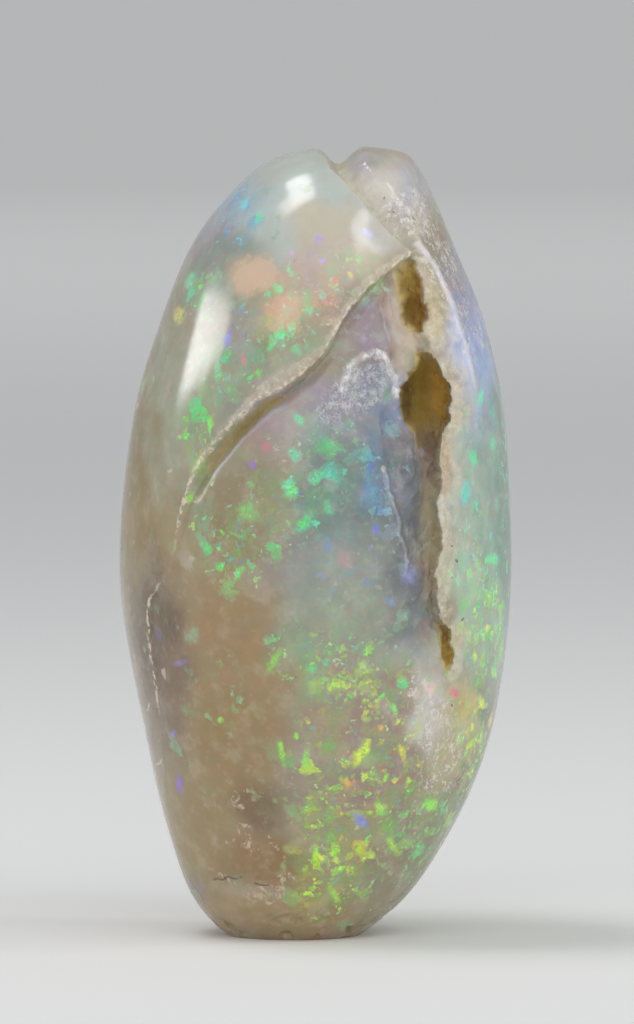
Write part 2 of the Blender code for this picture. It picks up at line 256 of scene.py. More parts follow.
# x, z, how far the filling lies below it, crevice depth, width of the cream band
MARGIN = (
    (4.8, 34.9, 0.25, 0.1, 0.26),
    (3.5, 34.0, 0.4, 0.15, 0.38),
    (2.6, 33.3, 0.45, 0.15, 0.42),
    (1.8, 32.4, 0.45, 0.15, 0.36),
    (1.1, 31.4, 0.4, 0.15, 0.3),
    (0.5, 30.3, 0.4, 0.2, 0.34),
    (-0.3, 29.4, 0.4, 0.3, 0.5),
    (-1.9, 28.2, 0.4, 0.4, 0.66),
    (-2.9, 27.7, 0.4, 0.6, 0.5),
    (-4.4, 26.3, 0.4, 0.7, 0.26),
    (-5.7, 24.8, 0.35, 0.6, 0.2),
    (-6.2, 23.9, 0.3, 0.35, 0.16),
    (-6.6, 22.6, 0.15, 0.1, 0.12),
    (-6.95, 20.8, 0.12, 0.0, 0.07),
    (-7.3, 19.0, 0.12, 0.0, 0.04),
    (-8.4, 17.4, 0.1, 0.0, 0.1),
    (-8.45, 15.6, 0.08, 0.0, 0.12),
    (-8.1, 12.6, 0.04, 0.0, 0.12),
    (-7.9, 10.6, 0.0, 0.0, 0.0),
)
MARGIN_WALL = 0.25
CREVICE = (0.25, 0.9)
CREVICE_OPENS = (0.2, 0.6)
CREVICE_ENDS = (0.4, 0.8)
LOWER_LIP = (0.55, 0.75, 0.8, 1.15)
SUNK = (1.0, 7.0)
SLOT_SIDE = (-0.1, 0.3)
FAR = 2.0


def margin(x, z, slot_right):
    """Depth under the margin, masks of the crevice and its lower lip, distance below, band, filling."""
    _, _, sunk, crevice, wide = columns(MARGIN)

    def below(away, run):
        return np.sign(away[:, 1] * run[0] - away[:, 0] * run[1])

    distance, number, side = near_line(MARGIN, x, z, below)
    signed = distance * side
    filling = 1.0 - rise(*SLOT_SIDE, x - slot_right)
    under = rise(0.0, MARGIN_WALL, signed) * filling
    groove = read_at(number, crevice) * (1.0 - rise(*CREVICE, signed))
    step = read_at(number, sunk) * (1.0 - rise(*SUNK, signed))
    width = read_at(number, wide) * filling
    along = rise(*CREVICE_OPENS, read_at(number, crevice)) * under
    open_crevice = along * (1.0 - rise(*CREVICE_ENDS, signed))
    lower_lip = along * between(LOWER_LIP, signed)
    return under * (step + groove), open_crevice, lower_lip, np.clip(signed, -FAR, FAR), width, under


# Slot along the right valve
# Between the filling and the right valve the matrix has weathered out: an upper cavity, a cream
# bridge, a large ochre hole, a narrow channel and a small lower hole, with a jagged cream right edge.

# height, left side, right side, depth
SLOT = (
    (13.5, 6.5, 6.6, 0.0),
    (14.0, 6.4, 6.75, 0.8),
    (14.7, 6.15, 6.9, 2.1),
    (15.6, 6.1, 6.9, 1.7),
    (16.4, 5.8, 6.35, 1.2),
    (17.3, 5.5, 6.1, 1.5),
    (19.2, 5.4, 6.0, 1.8),
    (20.4, 5.4, 6.3, 2.1),
    (22.2, 5.3, 5.95, 2.1),
    (23.2, 5.2, 6.25, 2.4),
    (24.8, 5.0, 6.2, 2.7),
    (25.9, 4.95, 6.3, 3.1),
    (26.5, 4.5, 6.7, 4.0),
    (27.3, 4.2, 6.75, 4.6),
    (28.1, 4.4, 6.8, 4.5),
    (28.8, 4.75, 6.4, 3.8),
    (29.5, 5.15, 6.15, 2.4),
    (30.0, 5.2, 5.8, 0.4),
    (30.3, 5.1, 5.7, 0.1),
    (31.0, 4.9, 5.5, 0.1),
    (31.4, 4.6, 5.6, 2.0),
    (32.1, 4.5, 5.7, 2.5),
    (33.1, 4.1, 5.4, 1.7),
    (34.1, 3.9, 5.15, 0.9),
    (34.8, 4.4, 4.95, 0.0),
)
SLOT_LEFT_WALL = 0.3
CHANNEL_LEFT_WALL = 1.1
CHANNEL_SPAN = (15.6, 17.0, 24.0, 25.8)
CHANNEL_DEPTH = 0.18
LOWER_HOLE_TOP = (15.0, 16.5)
LOWER_HOLE_DEPTH = 0.6
UPPER_CAVITY = (31.9, 32.8)
UPPER_LEFT_WALL = 0.75
SLOT_RIGHT_WALL = 0.2
SLOT_BOWL = 0.25

# The filling slopes down into the slot from this crest: height, x, depth at the slot
SLOPE = (
    (13.6, 6.2, 0.0),
    (15.5, 4.6, 0.3),
    (17.3, 4.2, 0.45),
    (19.2, 4.6, 0.5),
    (21.5, 4.1, 0.55),
    (23.2, 3.6, 0.6),
    (26.0, 3.1, 0.5),
    (28.5, 3.6, 0.3),
    (30.5, 3.8, 0.1),
    (32.0, 3.4, 0.0),
    (34.5, 3.2, 0.0),
)
SLOPE_BEND = 1.5
SLOPE_STEPS = 0.5
TERRACE_SIZE = 1.7
TERRACES = 5
SLOPE_SPAN = (14.5, 17.0, 33.5, 34.5)
LEDGE_DEPTH = 0.2
LEDGE_SPAN = (18.3, 19.3, 24.0, 25.4)

# Width of the slot's cream right edge at these heights
EDGE_HEIGHTS = (12.5, 14.0, 17.0, 22.0, 27.0, 30.5, 33.0, 35.2)
EDGE_WIDTHS = (0.0, 0.8, 0.9, 1.2, 1.3, 1.3, 0.9, 0.3)


def slot_sides(z):
    """Left side, right side and depth of the slot at each height."""
    height, *sides = columns(SLOT)
    return [np.interp(z, height, row) for row in sides]


def slot(x, z):
    """Depth of the slot and its slope, masks of hole, channel and slope, distance from the ledge."""
    left, right, depth = slot_sides(z)
    slope_height, *slope = columns(SLOPE)
    crest, drop = (np.interp(z, slope_height, row) for row in slope)
    channel = between(CHANNEL_SPAN, z)
    wall = SLOT_LEFT_WALL + (CHANNEL_LEFT_WALL - SLOT_LEFT_WALL) * channel
    wall += (UPPER_LEFT_WALL - SLOT_LEFT_WALL) * rise(*UPPER_CAVITY, z)
    depth = depth * (1.0 - (1.0 - CHANNEL_DEPTH) * channel)
    depth = depth * (1.0 - (1.0 - LOWER_HOLE_DEPTH) * (1.0 - rise(*LOWER_HOLE_TOP, z)))
    before = rise(0.0, 1.0, (x - left + 0.25 * channel) / wall)
    after = rise(0.0, SLOT_RIGHT_WALL, right - x)
    off_middle = np.clip((2 * x - left - right) / (right - left), -1.0, 1.0)
    hole = depth * before * after * (1.0 - SLOT_BOWL * off_middle**2)
    run_in = np.clip((x - crest) / np.maximum(left - crest, 0.2), 0.0, 1.0)
    edged = between(LEDGE_SPAN, z)
    ledge = LEDGE_DEPTH * rise(0.0, 0.12, x - crest) * edged
    on_slope = rise(0.0, 0.4, x - crest) * after * between(SLOPE_SPAN, z)
    inside = rise(0.02, 0.3, before) * after * rise(0.15, 0.7, depth) * (1.0 - channel)
    in_channel = before * after * channel
    depth = hole + (drop * run_in**SLOPE_BEND + ledge) * after
    return depth, inside, in_channel, on_slope * (1 - inside), np.abs(x - crest) + FAR * (1 - edged)


# Weathered and chipped places
# The polish stops at rough spots: a sugary druse on the filling, a flaky belt down the right valve
# beside its ridge, a crust low on the right, and scuffs and small chips near the broken foot.
RIDGE = ((5.0, 35.3), (5.75, 34.2), (6.65, 32.2), (7.4, 29.8), (7.95, 27.3), (8.3, 25.8))
RIDGE_HEIGHT = 0.3
RIDGE_REACH = 0.5
RIDGE_CREST = 0.08
RIDGE_FADE = 0.3
RIDGE_FADES = (29.0, 26.0)

# x, z, half width, half height, lean
DRUSE = (
    (3.0, 28.6, 1.7, 1.9, 0.0),
    (1.2, 27.5, 1.5, 1.5, 0.5),
)
FLAKING = (
    (4.6, 37.2, 2.2, 1.6, 0.4),
    (6.1, 34.8, 1.0, 2.6, 0.42),
    (7.4, 31.3, 0.9, 3.0, 0.32),
)
CRUST = (
    (5.5, 12.9, 1.3, 1.6, 0.0),
    (6.2, 10.6, 1.2, 3.0, 0.0),
    (6.7, 8.4, 1.0, 1.8, -0.2),
)
SCUFFS = (
    (-3.6, 7.6, 0.9, 0.5, 0.3),
    (-3.9, 5.2, 1.1, 0.5, 0.2),
    (-2.3, 5.3, 0.6, 0.4, 0.0),
    (-2.4, 2.7, 1.9, 0.5, 0.0),
    (-4.2, 3.1, 1.4, 0.45, -0.1),
)

# x, z of the druse's raised rim
RIM = (
    (1.4, 28.3),
    (1.8, 29.4),
    (2.4, 29.9),
    (3.15, 30.1),
    (3.8, 29.6),
    (4.15, 28.8),
    (4.3, 27.9),
)
RIM_HEIGHT = 0.09

# x, z, half width, half height, depth
HOLLOWS = (
    (2.3, 28.2, 2.1, 1.7, 0.3),
    (6.3, 10.6, 1.6, 3.2, 0.22),
    (-2.3, 5.6, 3.4, 1.9, 0.28),
    (3.6, 36.0, 0.9, 0.8, 0.12),
)
LUMP_HEIGHT = 0.16
LUMP_SIZE = 7.0
LUMP_FADE = (1.0, 5.0)
CHIPPED = (-0.1, 0.3, 0.4, 2.2)
CHIP_DEPTH = 0.22
FRONT_FADE = (0.05, 0.35)


def ragged(body, places):
    """The strongest of several oval spots, whose outline wanders like a broken crust's."""
    x = body[:, 0] + 0.9 * grain(body, 1.3, 5) + 0.35 * grain(body, 0.5, 6)
    z = body[:, 2] + 0.9 * grain(body, 1.3, 7) + 0.35 * grain(body, 0.5, 8)
    return np.max([oval(x, z, spot) for spot in places], axis=0)


def ridge(x, z):
    """Distance from the ridge that runs down the right valve beside the slot, and its height."""
    distance, _, _ = near_line(RIDGE, x, z)
    distance += RIDGE_FADE * rise(*RIDGE_FADES, z)
    return distance, RIDGE_HEIGHT * np.exp(-np.hypot(distance, RIDGE_CREST) / RIDGE_REACH)


def terraces(places):
    """Flat steps from 0 to 1 with sharp edges, as where a flake has come off."""
    height = 0.5 + 0.6 * grain(places * (1.0, 1.0, 0.6), TERRACE_SIZE, 10)
    return np.round(height * TERRACES) / TERRACES


def hollow(x, z, at_x, at_z, wide, tall, depth):
    """Depth of one shallow hollow."""
    return depth * np.exp(-(((x - at_x) / wide) ** 2) - ((z - at_z) / tall) ** 2)


def jagged(places):
    """The x and z of each place, shifted a little so that the edges drawn from them are jagged."""
    shift_x = 0.12 * grain(places, 0.5, 1) + 0.06 * grain(places, 0.17, 2)
    shift_z = 0.12 * grain(places, 0.55, 3) + 0.06 * grain(places, 0.19, 4)
    return places[:, 0] + shift_x, places[:, 2] + shift_z


def relief(body, kind, rough, fine):
    """How far broken, crystalline and flaky stone lies below the polish, in millimetres."""
    flat_steps = np.floor(2.2 * (rough + 1.2)) / 2.2 - rough
    chips = rise(0.1, 0.7, broken(body, 1.1, 3)) * between(CHIPPED, body[:, 2])
    depth = kind["cleft"] * 0.06 * fine
    depth += kind["druse"] * (0.07 - 0.10 * crystals(body, 0.34) - 0.03 * fine)
    depth += kind["flaking"] * (0.05 * flat_steps + 0.025 * fine)
    depth += kind["crust"] * (0.05 + 0.06 * rough + 0.03 * fine)
    depth += kind["scuffs"] * (0.03 + 0.03 * fine)
    depth += kind["lip"] * 0.035 * (fine + rough)
    depth += kind["slope"] * (0.04 * rough + SLOPE_STEPS * terraces(body))
    return depth + CHIP_DEPTH * chips


def fossil_surface(directions):
    """Places on the finished surface, and the masks of its kinds of stone."""
    body = polished_body(directions)
    normals = outward(directions)
    front = rise(*FRONT_FADE, -directions[:, 1])
    calm_x, calm_z = body[:, 0], body[:, 2]
    x, z = jagged(body)
    soft_x, soft_z = calm_x * 0.6 + x * 0.4, calm_z * 0.6 + z * 0.4
    slot_x = x + 0.15 * grain(body, 0.8, 9)
    _, right, _ = slot_sides(z)
    cleft_depth, in_cleft = cleft(body, normals)
    under_depth, crevice, lower_lip, away, band, filling = margin(soft_x, soft_z, right)
    slot_depth, hole, channel, on_slope, crest_away = slot(slot_x, z)
    ridge_away, ridge_height = ridge(calm_x, calm_z)
    rim_away, _, _ = near_line(RIM, x, z)
    edge_width = curve(calm_z, EDGE_HEIGHTS, EDGE_WIDTHS)
    lip = 1.0 - rise(0.0, 1.7, (slot_x - right) / np.maximum(edge_width, 0.05))
    lip *= rise(-0.15, 0.1, slot_x - right) * (1 - hole) * rise(0.0, 0.2, edge_width)
    masks = {
        "margin_away": away,
        "margin_band": front * band,
        "hole": front * hole,
        "crevice": front * crevice,
        "lower_lip": front * lower_lip,
        "cleft": in_cleft,
        "channel": front * channel,
        "crest_away": crest_away,
        "ridge_away": np.clip(ridge_away, 0.0, FAR),
        "rim_away": np.clip(rim_away, 0.0, FAR) + FAR * (1 - front),
        "lip": front * lip,
        "filling": front * filling,
        "slope": front * on_slope,
        "druse": front * ragged(body, DRUSE) * filling * (1 - hole),
        "flaking": front * ragged(body, FLAKING) * (1 - hole) * (1 - filling),
        "crust": front * ragged(body, CRUST) * (1 - hole),
        "scuffs": front * ragged(body, SCUFFS),
    }
    rough, fine = broken(body, 0.9), broken(body, 0.3, 1)
    hollows = sum(hollow(calm_x, calm_z, *row) for row in HOLLOWS)
    inward = cleft_depth * (1 + 0.05 * rough) + relief(body, masks, rough, fine)
    inward -= LUMP_HEIGHT * grain(body, LUMP_SIZE) * rise(*LUMP_FADE, calm_z)
    inward += front * (under_depth + hollows - ridge_height)
    inward -= front * RIM_HEIGHT * (1 + fine) * (1 - rise(0.0, 0.3, rim_away))
    places = body - normals * inward[:, None]
    places[:, 0] += masks["hole"] * (0.10 * rough + 0.04 * fine)
    places[:, 1] += masks["hole"] * (0.30 * rough + 0.10 * fine) + front * slot_depth
    return places, masks


# Fossil in one mesh
# The whole fossil is one closed skin over the solid, with the foot sawn flat. Its triangles are short
# where the stone is broken or crystalline and long where it is smoothly polished.
MM = 0.001
SMOOTH_EDGE = 0.42
FRONT_EDGE = 0.32
DETAIL_EDGE = 0.13
EDGE_SLACK = 1.35
BALL_SUBDIVISIONS = 6
REFINING_ROUNDS = 4
SMOOTHING_ROUNDS = 2

# Where the front has detail that needs short edges
SLOT_HEIGHTS = (13.2, 35.2)
SLOT_SURROUND = (0.7, 1.4)
LEDGE_ACROSS = (3.2, 6.0)
LEDGE_HEIGHTS = (15.5, 27.0)
MARGIN_OPEN_ROWS = 13
MARGIN_NEAR, SEAM_NEAR = 1.0, 0.45
CLEFT_OPEN_ROWS = 9
CLEFT_NEAR = 1.3
FOOT_TOP = 1.6


def within(span, values):
    """Whether each value is between the span's two ends."""
    low, high = span
    return (values > low) & (values < high)


def wanted_edge(directions):
    """The longest edge allowed at each place."""
    body = polished_body(directions)
    x, z = body[:, 0], body[:, 2]
    front = directions[:, 1] < -0.05
    left, right, _ = slot_sides(z)
    near_margin, number, _ = near_line(MARGIN, x, z)
    near_cleft, along_cleft, _ = along_line(cleft_line(), body)
    to_left, to_right = SLOT_SURROUND
    margin_reach = np.where(number < MARGIN_OPEN_ROWS, MARGIN_NEAR, SEAM_NEAR)
    rough = within(SLOT_HEIGHTS, z) & (x > left - to_left) & (x < right + to_right)
    rough |= (near_margin < margin_reach) & (x < right + 0.5)
    rough |= within(LEDGE_ACROSS, x) & within(LEDGE_HEIGHTS, z)
    rough |= ragged(body, DRUSE + FLAKING + CRUST + SCUFFS) > 0.02
    rough |= z < FOOT_TOP
    rough &= front
    rough |= (near_cleft < CLEFT_NEAR) & (along_cleft < CLEFT_OPEN_ROWS * CLEFT_STEPS)
    edge = np.where(front, FRONT_EDGE, SMOOTH_EDGE)
    return np.where(rough, DETAIL_EDGE, edge)


def directions_in(ball):
    """The unit directions of a ball's vertices."""
    found = np.array([v.co[:] for v in ball.verts])
    return unit(found)


def round_mesh():
    """A ball of unit directions with short edges where there is detail."""
    ball = bmesh.new()
    bmesh.ops.create_icosphere(ball, subdivisions=BALL_SUBDIVISIONS, radius=1.0)
    for _ in range(REFINING_ROUNDS):
        directions = directions_in(ball)
        places = polished_body(directions)
        wanted = wanted_edge(directions)
        ball.verts.index_update()
        ends = np.array([(e.verts[0].index, e.verts[1].index) for e in ball.edges])
        length = np.linalg.norm(places[ends[:, 0]] - places[ends[:, 1]], axis=1)
        too_long = length > np.minimum(wanted[ends[:, 0]], wanted[ends[:, 1]]) * EDGE_SLACK
        if not too_long.any():
            break
        edges = [edge for edge, cut in zip(ball.edges, too_long) if cut]
        bmesh.ops.subdivide_edges(ball, edges=edges, cuts=1)
        bmesh.ops.triangulate(ball, faces=ball.faces[:])
        for vert in ball.verts:
            vert.co.normalize()
    for _ in range(SMOOTHING_ROUNDS):
        bmesh.ops.smooth_vert(
            ball, verts=ball.verts[:], factor=0.5, use_axis_x=True, use_axis_y=True, use_axis_z=True
        )
    for vert in ball.verts:
        vert.co.normalize()
    bmesh.ops.beautify_fill(ball, faces=ball.faces[:], edges=ball.edges[:], method="ANGLE")
    return ball


def saw_foot(shape):
    """Cut the shape off flat at z = 0."""
    cut = bmesh.ops.bisect_plane(
        shape,
        geom=shape.verts[:] + shape.edges[:] + shape.faces[:],
        dist=1e-7,
        plane_co=(0.0, 0.0, 0.0),
        plane_no=(0.0, 0.0, -1.0),
        clear_outer=True,
    )
    rim = [item for item in cut["geom_cut"] if isinstance(item, bmesh.types.BMEdge)]
    bmesh.ops.edgeloop_fill(shape, edges=rim)
    bmesh.ops.triangulate(shape, faces=shape.faces[:])
    bmesh.ops.recalc_face_normals(shape, faces=shape.faces[:])


shape = round_mesh()
places, masks = fossil_surface(directions_in(shape))
layers = {name: shape.verts.layers.float.new(name) for name in masks}
for i, vert in enumerate(shape.verts):
    vert.co = places[i] * MM
    for name, layer in layers.items():
        vert[layer] = masks[name][i]
saw_foot(shape)
skin = bpy.data.meshes.new("opal_fossil")
shape.to_mesh(skin)
shape.free()
skin.shade_smooth()
skin.set_sharp_from_angle(angle=math.radians(60.0))
fossil = bpy.data.objects.new("opal_fossil", skin)
bpy.context.scene.collection.objects.link(fossil)


# Opal
# The valves and filling are milky precious opal: cloudy grey, cream and peach body colours, with
# pinfire and flakes of green, blue and violet in them. The matrix in the holes is dull ochre sand.

# Body colours and painted light, each patch: x, z, half width, half height, colour on screen, strength
MILK_GROUND = (164, 154, 128)
MILK_AND_PAINTED_LIGHT = (
    (-0.8, 37.0, 4.2, 3.0, (196, 206, 202), 0.9),
    (-5.3, 35.3, 1.4, 3.4, (172, 158, 174), 0.7),
    (-4.6, 34.0, 1.5, 1.7, (132, 148, 144), 0.9),
    (-3.0, 33.6, 1.4, 0.9, (214, 184, 154), 0.95),
    (-1.8, 31.8, 1.3, 1.2, (216, 178, 154), 0.95),
    (-0.2, 33.6, 1.8, 1.0, (192, 170, 148), 0.75),
    (0.5, 34.8, 1.7, 1.3, (208, 180, 160), 0.65),
    (0.0, 36.5, 1.8, 0.9, (214, 196, 168), 0.6),
    # Painted shade: the outline's top left edge on the crown, darker and bluish
    (-4.0, 37.9, 1.3, 1.6, (158, 176, 190), 0.6),
    (2.2, 34.8, 1.6, 0.8, (210, 196, 170), 0.7),
    # Painted highlight: a white sheen on the left beak beside the cleft, over the sheen light's own
    # reflection
    (2.7, 35.9, 1.0, 0.8, (228, 226, 222), 0.8),
    (-5.1, 29.5, 2.4, 4.6, (166, 166, 146), 0.8),
    (-7.6, 26.0, 1.2, 4.0, (172, 176, 156), 0.7),
    (-0.8, 30.6, 1.6, 1.2, (158, 146, 122), 0.8),
    (-3.5, 30.6, 1.2, 1.2, (180, 164, 156), 0.7),
    # Painted shade: darker along the outline's left edge
    (-9.2, 23.0, 1.1, 10.0, (150, 133, 88), 0.85),
    (-7.7, 19.0, 1.5, 4.5, (170, 154, 116), 0.7),
    (2.4, 31.4, 1.8, 2.0, (156, 134, 124), 0.9),
    (4.3, 31.6, 0.7, 2.0, (196, 178, 164), 0.9),
    (3.9, 27.6, 0.7, 1.6, (168, 166, 196), 0.9),
    (3.2, 26.0, 1.2, 1.2, (108, 122, 166), 0.85),
    (2.8, 28.3, 1.1, 1.5, (128, 134, 160), 0.9),
    (0.9, 27.3, 1.5, 1.3, (150, 146, 152), 0.8),
    (-0.8, 19.4, 2.4, 2.0, (150, 152, 162), 0.75),
    (-4.4, 15.4, 1.6, 1.8, (172, 132, 96), 0.8),
    (4.6, 14.8, 1.5, 0.9, (180, 196, 196), 0.75),
    (-3.2, 0.5, 1.1, 0.6, (132, 122, 130), 0.7),
    (-1.3, 27.0, 2.8, 1.9, (166, 156, 160), 0.9),
    (1.0, 27.2, 1.6, 1.6, (150, 142, 164), 0.6),
    (1.6, 23.0, 2.8, 3.2, (98, 126, 126), 0.85),
    (3.0, 23.4, 1.0, 1.5, (80, 114, 138), 0.8),
    (4.7, 23.0, 1.0, 3.6, (100, 106, 118), 0.9),
    (4.3, 17.6, 1.6, 2.6, (92, 96, 116), 0.9),
    (-3.9, 22.0, 2.2, 2.6, (152, 136, 104), 0.8),
    (-8.3, 19.6, 1.2, 2.4, (170, 146, 104), 0.7),
    (-4.3, 14.6, 3.0, 5.0, (164, 136, 92), 0.9),
    (-4.0, 10.4, 2.6, 2.8, (160, 132, 84), 0.9),
    (-7.6, 13.5, 1.3, 4.4, (130, 106, 86), 0.8),
    (-8.2, 16.6, 1.2, 3.6, (102, 82, 58), 0.8),
    (1.2, 17.2, 3.0, 3.4, (154, 166, 148), 0.8),
    (3.0, 9.4, 3.8, 4.8, (162, 138, 132), 0.85),
    (-1.8, 1.3, 4.2, 1.9, (174, 150, 108), 0.85),
    (-3.2, 7.0, 1.7, 1.5, (122, 94, 58), 0.8),
    (-6.0, 5.3, 1.8, 4.2, (162, 140, 96), 0.85),
    (-2.6, 4.3, 2.1, 1.2, (146, 110, 58), 0.85),
    (8.9, 21.0, 2.2, 8.5, (168, 190, 180), 0.85),
    # Painted shade: darker along the outline's right edge
    (10.1, 20.0, 0.9, 9.0, (114, 156, 136), 0.8),
    (8.0, 30.4, 1.3, 4.0, (184, 202, 248), 0.9),
    # Painted shade: darker at the outline's lower right edge
    (8.4, 7.6, 1.4, 4.4, (104, 114, 102), 0.9),
    (4.1, 37.8, 2.4, 2.2, (196, 190, 178), 0.85),
    (2.3, 39.4, 1.0, 0.7, (172, 164, 176), 0.7),
    (4.9, 38.2, 1.0, 1.4, (196, 196, 206), 0.7),
    (3.4, 38.3, 0.9, 0.9, (222, 216, 206), 0.7),
    (7.3, 33.0, 0.8, 3.0, (172, 166, 178), 0.6),
    (7.5, 20.5, 0.8, 6.0, (190, 200, 186), 0.8),
    (2.7, 31.3, 0.8, 0.8, (148, 130, 166), 0.45),
    (5.4, 30.6, 1.0, 0.8, (196, 178, 154), 0.9),
    (-6.1, 2.0, 0.5, 1.3, (132, 124, 132), 0.6),
    (-3.4, 2.9, 2.0, 0.5, (186, 172, 150), 0.5),
    (7.0, 11.8, 1.0, 1.5, (206, 196, 158), 0.9),
    (6.6, 9.2, 1.1, 1.6, (200, 184, 156), 0.85),
    (7.5, 12.0, 0.5, 0.7, (220, 186, 104), 0.5),
    (5.4, 12.0, 0.9, 1.9, (218, 212, 210), 0.85),
)

# Play of colour, each patch: x, z, half width, half height, flake colour on screen, share of grains
FIRE_GROUND = (140, 178, 132)
FIRE_GROUND_SHARE = 0.06
FULL_SHARE = 0.45
FIRE = (
    (-3.6, 29.0, 2.2, 2.0, (84, 214, 128), 0.45),
    (-5.8, 25.6, 1.1, 2.3, (120, 220, 96), 0.5),
    (-1.0, 31.6, 2.4, 1.9, (104, 216, 146), 0.5),
    (-4.2, 36.8, 1.8, 2.0, (104, 176, 206), 0.42),
    (-5.8, 32.8, 1.0, 1.4, (110, 214, 150), 0.35),
    (-3.8, 31.0, 1.0, 1.4, (130, 120, 228), 0.2),
    (0.6, 34.2, 1.4, 1.4, (160, 122, 226), 0.4),
    (-0.5, 24.2, 2.4, 3.2, (66, 206, 146), 0.55),
    (-2.2, 25.6, 1.6, 1.5, (196, 96, 104), 0.3),
    (-4.3, 20.6, 2.1, 2.4, (92, 218, 110), 0.45),
    (3.0, 23.6, 1.1, 1.7, (72, 150, 180), 0.4),
    (4.0, 20.0, 1.0, 3.0, (122, 130, 202), 0.16),
    (1.6, 19.6, 1.9, 1.6, (118, 112, 222), 0.3),
    (4.0, 24.6, 1.2, 2.8, (124, 120, 208), 0.2),
    (2.6, 31.0, 1.4, 1.4, (140, 124, 224), 0.25),
    (-4.6, 13.0, 1.8, 2.2, (108, 210, 110), 0.14),
    (0.6, 14.6, 2.8, 2.4, (112, 214, 98), 0.45),
    (3.2, 9.4, 4.2, 4.6, (168, 222, 70), 0.55),
    (0.8, 4.2, 2.0, 2.8, (178, 228, 60), 0.58),
    (9.0, 22.6, 1.6, 7.4, (88, 210, 180), 0.27),
    (7.8, 18.6, 1.2, 2.6, (126, 216, 150), 0.34),
    (8.0, 15.6, 1.2, 3.4, (136, 222, 84), 0.42),
    (7.6, 9.6, 1.3, 2.6, (176, 222, 60), 0.5),
    (5.6, 5.6, 1.8, 2.2, (120, 214, 110), 0.4),
    (7.2, 31.0, 1.2, 2.8, (120, 116, 226), 0.3),
    (-7.2, 9.2, 1.0, 2.6, (116, 92, 226), 0.05),
    (1.6, 33.8, 1.6, 1.2, (150, 206, 130), 0.4),
    (0.4, 32.4, 1.2, 1.2, (222, 150, 120), 0.35),
    (-0.6, 28.0, 2.6, 0.8, (196, 110, 130), 0.3),
)

# Colours of the matrix in the holes and some painted light, in the same way as the body colours
MATRIX_GROUND = (188, 176, 144)
MATRIX_AND_PAINTED_LIGHT = (
    (4.9, 33.4, 0.9, 1.4, (188, 158, 56), 0.9),
    (5.2, 31.8, 0.9, 1.1, (190, 150, 46), 0.9),
    (5.2, 27.8, 1.7, 2.2, (200, 172, 74), 0.95),
    (4.4, 27.5, 0.5, 1.5, (120, 94, 42), 0.8),
    # Painted light: the large hole's right wall made brighter where light falls on it
    (6.3, 28.0, 0.6, 1.8, (246, 210, 108), 0.9),
    (5.8, 19.6, 1.0, 5.0, (210, 196, 156), 0.9),
    (5.5, 24.6, 1.1, 1.3, (158, 132, 116), 0.9),
    (6.4, 14.8, 0.7, 1.3, (216, 190, 100), 0.9),
    (-3.6, 26.9, 3.4, 2.2, (176, 158, 100), 0.7),
    (-6.0, 24.2, 0.9, 1.3, (176, 158, 100), 0.7),
    (3.0, 37.0, 2.4, 2.4, (222, 216, 198), 0.9),
)

# Colours of the cream edge right of the slot, in the same way
CREAM_GROUND = (208, 198, 172)
CREAM = (
    (6.3, 32.0, 0.8, 1.6, (226, 204, 146), 0.9),
    (6.9, 29.8, 0.9, 0.9, (230, 220, 206), 0.8),
    (7.0, 27.5, 0.6, 1.6, (226, 196, 132), 0.9),
    (6.4, 24.3, 0.5, 1.4, (208, 158, 102), 0.9),
    (6.5, 22.0, 0.7, 0.8, (238, 230, 212), 0.9),
    (6.6, 19.6, 0.8, 1.6, (216, 196, 158), 0.8),
    (6.9, 16.4, 0.6, 1.4, (208, 182, 126), 0.9),
    (6.9, 14.2, 0.8, 0.7, (222, 216, 200), 0.8),
    (0.0, 29.6, 4.0, 3.0, (202, 180, 154), 0.8),
)
PATCH_SOFT = 0.55

# Where the body colour is more even: x, z, half width, half height, and by how much
CROWN_WINDOW, CROWN_CALM = (-1.0, 37.0, 5.2, 3.6), 0.75
LEFT_SIDE, LEFT_CALM = (-6.5, 12.0, 7.0, 20.0), 0.38

# Where flakes stand upright, in the same way: on the right valve and above the foot
RIGHT_SIDE, RIGHT_SHARE = (9.0, 21.0, 2.2, 9.0), 0.36
ABOVE_FOOT, FOOT_SHARE = (2.6, 4.0, 3.4, 3.0), 0.45

